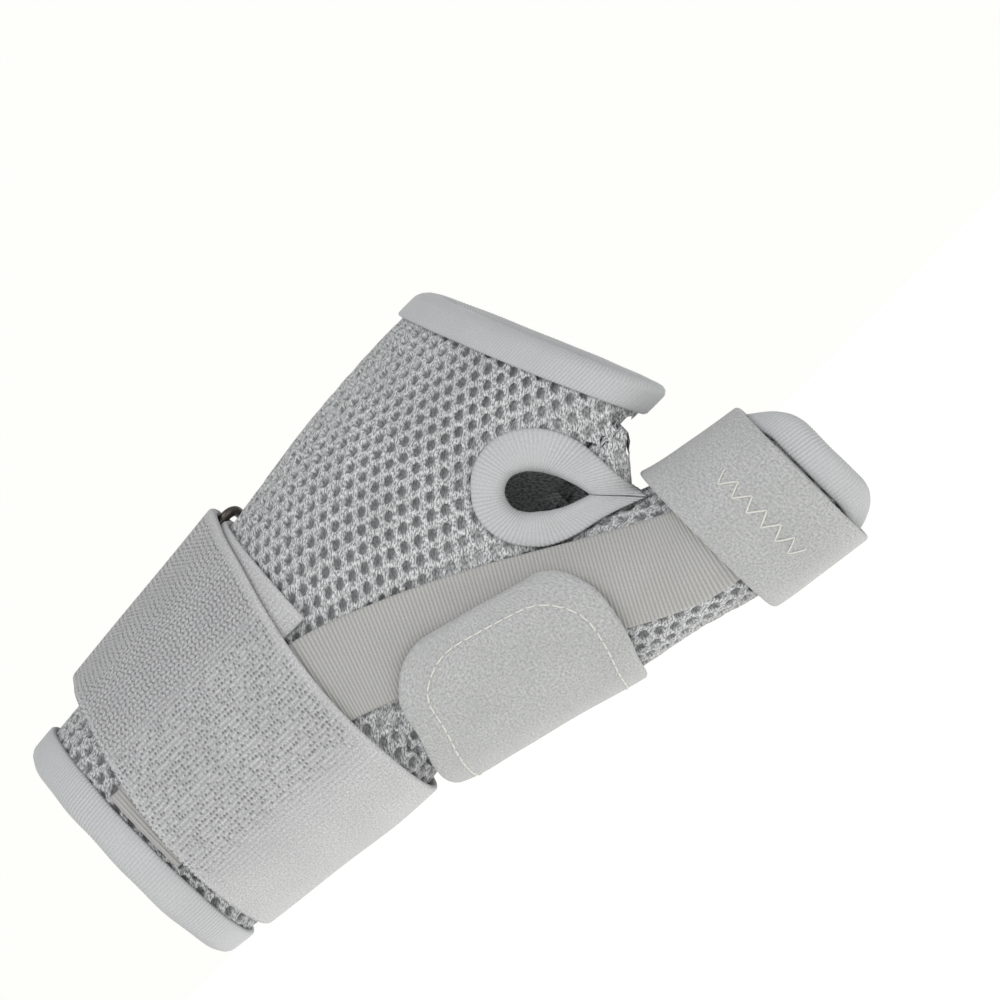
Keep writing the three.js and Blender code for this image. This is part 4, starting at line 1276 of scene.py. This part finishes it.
# A surface through a net of steps, by length along its middle.
def netPlace(steps):
    net = np.array(steps)
    middle = net[:, len(netShares) // 2].mean(axis=1)
    s = lengthsAlong(middle)
    alongNet = curveThrough(s, net)

    def place(at, share, face):
        found = alongNet(at)
        k = np.clip(share * (len(netShares) - 1), 0, len(netShares) - 1)
        j = np.clip(k.astype(int), 0, len(netShares) - 2)
        p, each = (k - j)[:, None, None], np.arange(len(at))
        before, after = found[each, np.maximum(j - 1, 0)], found[each, np.minimum(j + 2, len(netShares) - 1)]
        a, b = found[each, j], found[each, j + 1]
        slopeA = np.where((j > 0)[:, None, None], (b - before) / 2, b - a)
        slopeB = np.where((j < len(netShares) - 2)[:, None, None], (after - a) / 2, b - a)
        both = a * (2 * p**3 - 3 * p**2 + 1) + slopeA * (p**3 - 2 * p**2 + p)
        both = both + b * (3 * p**2 - 2 * p**3) + slopeB * (p**3 - p**2)
        return mix(both[:, 0], both[:, 1], face[:, None])

    return place, s[-1]


def makeWristStrap():
    rowAt = throughRows(strapRows)
    thick, width, gap = wristForm["thickness"], wristForm["width"], wristForm["gap"]
    top = gap + thick
    steps = []
    slant = wristForm["firstSlant"] * netShares[:, None] ** 2
    ringEnd = ringForm["turn"] + wristForm["ringBend"]
    for turn in np.linspace(wristForm["firstTurn"], ringEnd, wristForm["firstSteps"]):
        turned = turn + slant * smoothStep(turn, wristForm["firstSquare"], wristForm["firstTurn"])
        steps.append(layStep(wholeSleeve, hand, ringX, np.radians(turned), top, -thick, width))
    for angle in range(-90, 91, 30):
        steps.append(bendStep(nearBar, -1, math.radians(angle), thick, width))
    for turn in np.linspace(strapRows[0][0], strapRows[-1][0], wristForm["overSteps"]):
        along, lift = rowAt(turn)
        height = gap + max(0, lift) * (thick + gap)
        x = along * sleeveForm["palmReach"]
        steps.append(layStep(wholeSleeve, hand, x, math.radians(turn), height, thick, width))
    place, length = netPlace(steps)

    def reliefShade(s, w):
        wave = np.cos(2 * np.pi * s / wristForm["ribPitch"])
        strong = mix(wristForm["ribsLeast"], 1, smoothStep(s, *wristForm["ribsGrow"]))
        strong = strong * (1 - wristForm["fuzzSmooths"] * smoothStep(s, *wristForm["ribsFade"]))
        strong = strong * smoothStep(np.minimum(w, width - w), 0, wristForm["selvage"])
        # Painted shade: the rib grooves are darker, as far as the ribs are strong
        return wristForm["ribRise"] * wave * strong, 1 - 0.45 * (0.5 - 0.5 * wave) * strong

    def scallops(s, share):
        wave = 0.5 - 0.5 * np.cos(2 * np.pi * s / wristForm["ribPitch"])
        near = 1 - smoothStep(share * width, 0, wristForm["scallopReach"])
        return share + wave * wristForm["scallop"] / width * near

    piece = clothStrip("elastic_wrist_strap", place, length, wristForm, knittedElastic,
                       ["wrist_strap"], reliefShade, scallops)


def makeRing():
    halfLength = halfStrap / barWay[0] + ringForm["sideGap"] + ringForm["wire"] / 2
    halfHeight, corner = barSpacing / 2, ringForm["corner"] * ringForm["wire"]
    spine = []
    for cx, cy, first in ((1, -1, -90), (1, 1, 0), (-1, 1, 90), (-1, -1, 180)):
        for angle in np.radians(np.arange(first, first + 91, 10)):
            x = cx * (halfLength - corner) + corner * math.cos(angle)
            spine.append((x, cy * (halfHeight - corner) + corner * math.sin(angle)))
    spine = np.array(spine)
    way = unit(np.roll(spine, -1, axis=0) - np.roll(spine, 1, axis=0))
    centres = (nearBar + farBar) / 2 + spine[:, :1] * barWay + spine[:, 1:] * acrossRing
    away = way[:, 1:] * barWay - way[:, :1] * acrossRing
    around = np.linspace(0, 2 * np.pi, ringForm["sides"] + 1)[:-1]
    radius = ringForm["wire"] / 2
    points = centres[:, None] + radius * (
        np.cos(around)[None, :, None] * away[:, None] + np.sin(around)[None, :, None] * outOfRing
    )
    along = np.arange(len(spine) + 1, dtype=float)
    faces, corners = gridFaces(points, True, along, np.arange(len(around) + 1, dtype=float))
    makePiece("wire_ring", points.reshape(-1, 3), faces, corners, steelWire, ["strap_ring"])


tabForm = {
    "width": 38.0,
    "thickness": 1.3,
    "step": 0.87 / 4,
    "rows": 14,
    "ribPitch": 0.87,
    "ribRise": 0.08,
    "turn": 34.0,
    "bendOver": 15.0,
    "bendUnder": 5.0,
}


def makeTab():
    thick, width, gap = tabForm["thickness"], tabForm["width"], wristForm["gap"]
    end = farTurn - math.radians(tabForm["turn"])
    steps = []
    for turn in np.linspace(end, farTurn - math.radians(tabForm["bendOver"]), 5):
        steps.append(layStep((hand,), hand, ringX, turn, 2 * gap + thick, thick, width))
    for angle in range(90, -91, -30):
        steps.append(bendStep(farBar, 1, math.radians(angle), thick, width))
    for turn in np.linspace(farTurn - math.radians(tabForm["bendUnder"]), end, 5):
        steps.append(layStep((hand,), hand, ringX, turn, gap + thick, -thick, width))
    place, length = netPlace(steps)
    piece = clothStrip("ribbed_ring_tab", place, length, tabForm, ribbedTape,
                       ["ring_tab"], ribRelief(tabForm))


makeWristStrap()
makeRing()
makeTab()
print("Wrist strap, ring and tab made")

# Strap over the base of the thumb, with a round end and a stitched border

baseForm = {
    "width": 53.0,
    "thickness": 2.2,
    "middle": 91.5,
    "corner": 11.0,
    "step": 0.8,
    "rows": 40,
    "gap": 0.3,
    "napRise": 0.05,
    "stitchInset": 5.6,
    "stitchLength": 2.3,
    "stitchGap": 0.5,
    "stitchReach": 62.0,  # length of cloth from the round end that is stitched
    "stitchSpan": 0.94,  # share of the width that the strap has at its round end
    "thread": 0.42,
    "lift": 0.16,
}
# turn in degrees, left and right half widths as shares, twist in degrees, lift
baseRows = [
    (90, 0.33, 0.56, 6.4, 1.15),
    (99, 0.355, 0.55, 10.5, 1.15),
    (109, 0.411, 0.535, 10.5, 1.15),
    (121, 0.445, 0.505, 8, 1.1),
    (138, 0.504, 0.45, 3.5, 0.55),
    (156, 0.523, 0.42, 0, 0.1),
    (178, 0.5, 0.38, -2, 0),
    (202, 0.47, 0.34, -3, 0),
    (228, 0.44, 0.31, -3, 0),
]


def palmMiddle(x):
    handY, handZ = hand(x)[:2]
    thumbY, thumbZ = thumb(x)[:2]
    return (handY + thumbY) / 2, (handZ + 2 * thumbZ) / 3


baseRowAt = throughRows(baseRows)
baseReach = (sleeveForm["palmWidth"] + sleeveForm["thumbBaseWidth"]) / 4


def basePlace(turn, share, face):
    left, right, twist, lift = np.moveaxis(baseRowAt(turn), -1, 0)
    corner = baseForm["corner"]
    fromEnd = np.clip(np.radians(turn - baseRows[0][0]) * baseReach, 0, corner)
    inset = corner - np.sqrt(corner**2 - (corner - fromEnd) ** 2)
    x = baseForm["middle"] + mix(inset - left * baseForm["width"], right * baseForm["width"] - inset, share)
    overPocket = np.maximum(0, lift) * (pocketForm["thickness"] + baseForm["gap"])
    height = baseForm["gap"] + overPocket + face * baseForm["thickness"]
    return outFrom(wholeSleeve, palmMiddle, x, np.radians(turn + (share - 0.5) * twist), height)


def stitchRun(place, path, form, name):
    path = np.array(path)
    s = lengthsAlong(path)
    starts = np.arange(0, s[-1] - form["stitchLength"], form["stitchLength"] + form["stitchGap"])
    ends = starts + form["stitchLength"]
    seats = []
    for at in (starts, ends):
        along, share = (np.interp(at, s, path[:, k]) for k in (0, 1))
        seats.append((place(along, share, np.ones(len(at))), place(along, share, np.full(len(at), 2.0))))
    outs = unit(seats[0][1] - seats[0][0])
    return makeStitches(name, seats[0][0], seats[1][0], outs, form)


def makeBaseStrap():
    length, back = measured(basePlace, baseRows[0][0], baseRows[-1][0])

    def place(s, share, face):
        return basePlace(back(s), share, face)

    piece = clothStrip("thumb_base_strap_loop", place, length, baseForm, brushedLoop,
                       ["thumb_base_strap"])
    inset, far, bend = baseForm["stitchInset"], baseForm["stitchReach"], baseForm["corner"]
    width = baseForm["stitchSpan"] * baseForm["width"]
    border = [(far, inset), (inset + bend, inset)]
    for angle in np.radians(np.arange(10, 91, 10)):
        border.append((inset + bend * (1 - math.sin(angle)), inset + bend * (1 - math.cos(angle))))
    path = border + [(s, width - w) for s, w in border[::-1]]
    run = []
    for s, w in path:
        fromEnd = min(s, bend)
        edge = bend - math.sqrt(bend**2 - (bend - fromEnd) ** 2)
        run.append((s, (w - edge) / (width - 2 * edge)))
    scaled = [(s, share * width) for s, share in run]
    stitchRun(lambda s, w, face: place(s, w / width, face), scaled, baseForm, "thumb_base_strap_stitches")


makeBaseStrap()

# Strap round the thumb, joined by a zigzag of stitches

thumbForm = {
    "width": 26.5,
    "thickness": 2.0,
    "inset": 6.8,  # from its free edge to the thumb rim's front tab
    "start": 215.0,
    "overlap": 50.0,
    "riseFrom": 40.0,
    "riseTo": 6.0,
    "step": 0.8,
    "rows": 24,
    "gap": 0.3,
    "stitchLength": 3.4,
    "stitchGap": 0.15,
    "zigzagWidth": 3.8,
    "zigzagStep": 1.6,
    "zigzagTurns": (415.0, 492.0),
    "thread": 0.42,
    "lift": 0.2,
}
thumbAgain = thumbForm["start"] + 360
thumbMiddle = sleeveForm["thumbReach"] - thumbForm["inset"] - thumbForm["width"] / 2


def thumbStrapPlace(turn, share, face):
    over = smoothStep(turn, thumbAgain - thumbForm["riseFrom"], thumbAgain - thumbForm["riseTo"])
    height = 2 * thumbForm["gap"] + pocketForm["thickness"]
    height = height + over * (thumbForm["thickness"] + thumbForm["gap"])
    x = thumbMiddle + (share - 0.5) * thumbForm["width"]
    return outFrom((thumb,), thumb, x, np.radians(turn), height + face * thumbForm["thickness"])


def makeThumbStrap():
    length, back = measured(thumbStrapPlace, thumbForm["start"], thumbAgain + thumbForm["overlap"])

    def place(s, share, face):
        return thumbStrapPlace(back(s), share, face)

    piece = clothStrip("thumb_strap_loop", place, length, thumbForm, brushedLoop,
                       ["thumb_strap"])
    width, half = thumbForm["width"], thumbForm["zigzagWidth"] / 2
    reach = sum(np.radians(thumbForm["zigzagTurns"]) * (1, -1)) * -sleeveForm["thumbWidth"] / 2
    count = int(reach / thumbForm["zigzagStep"])
    turns = np.linspace(*thumbForm["zigzagTurns"], count)
    shares = 0.5 + half / width * (-1.0) ** np.arange(count)
    seats = thumbStrapPlace(turns, shares, np.ones(count))
    outs = unit(thumbStrapPlace(turns, shares, np.full(count, 2.0)) - seats)
    makeStitches("thumb_strap_stitches", seats[:-1], seats[1:], outs[:-1], thumbForm)


makeThumbStrap()
print("Thumb straps made")

# Studio: a wide pale floor, a white surround and soft lights

studio = {
    "floorHeight": -0.25,
    "floorReach": 6.0,
    "floorGlow": 0.6,  # the paper is lit from below as well, so that it keeps no shadow
    "surround": 0.5,
    "floorColour": "#F6F6F3",
    "glowColour": "#FEFEFB",
    "lamps": (  # place from the splint, size, power
        ("key_light", (-0.35, -0.9, 1.25), 1.1, 13.0),
        ("fill_light", (0.9, -1.3, -0.02), 1.4, 4.0),
    ),
}


def makeStudio():
    reach, height = studio["floorReach"], studio["floorHeight"]
    mesh = bpy.data.meshes.new("floor")
    mesh.from_pydata([(-reach, -reach, height), (reach, -reach, height), (reach, reach, height),
                      (-reach, reach, height)], [], [(0, 1, 2, 3)])
    floor = bpy.data.objects.new("floor", mesh)
    bpy.context.scene.collection.objects.link(floor)
    # Matt white paper, pale all over
    paper, _, shader = newMaterial("white_paper_floor", {"roughness": 1.0})
    shader.inputs["Base Color"].default_value = linear(studio["floorColour"])
    shader.inputs["Emission Color"].default_value = linear(studio["glowColour"])
    shader.inputs["Emission Strength"].default_value = studio["floorGlow"]
    mesh.materials.append(paper)
    world = bpy.data.worlds.new("white_surround")
    bpy.context.scene.world = world
    world.use_nodes = True
    tree = world.node_tree
    tree.nodes.clear()
    seen = addNode(tree, "ShaderNodeLightPath").outputs["Is Camera Ray"]
    strength = addNode(tree, "ShaderNodeMapRange", {
        "Value": seen, "To Min": studio["surround"], "To Max": 1.0,
    }).outputs[0]
    sky = addNode(tree, "ShaderNodeBackground", {
        "Color": linear(studio["glowColour"]), "Strength": strength,
    })
    addNode(tree, "ShaderNodeOutputWorld", {"Surface": sky.outputs[0]})
    target = Vector(cameraView["target"])
    for name, place, size, power in studio["lamps"]:
        light = bpy.data.lights.new(name, "AREA")
        light.size = size
        light.energy = power
        lamp = bpy.data.objects.new(name, light)
        lamp.location = target + Vector(place)
        lamp.rotation_euler = (-Vector(place)).to_track_quat("-Z", "Y").to_euler()
        bpy.context.scene.collection.objects.link(lamp)
    bpy.context.scene.view_settings.view_transform = "Standard"


makeStudio()
print("Studio made")
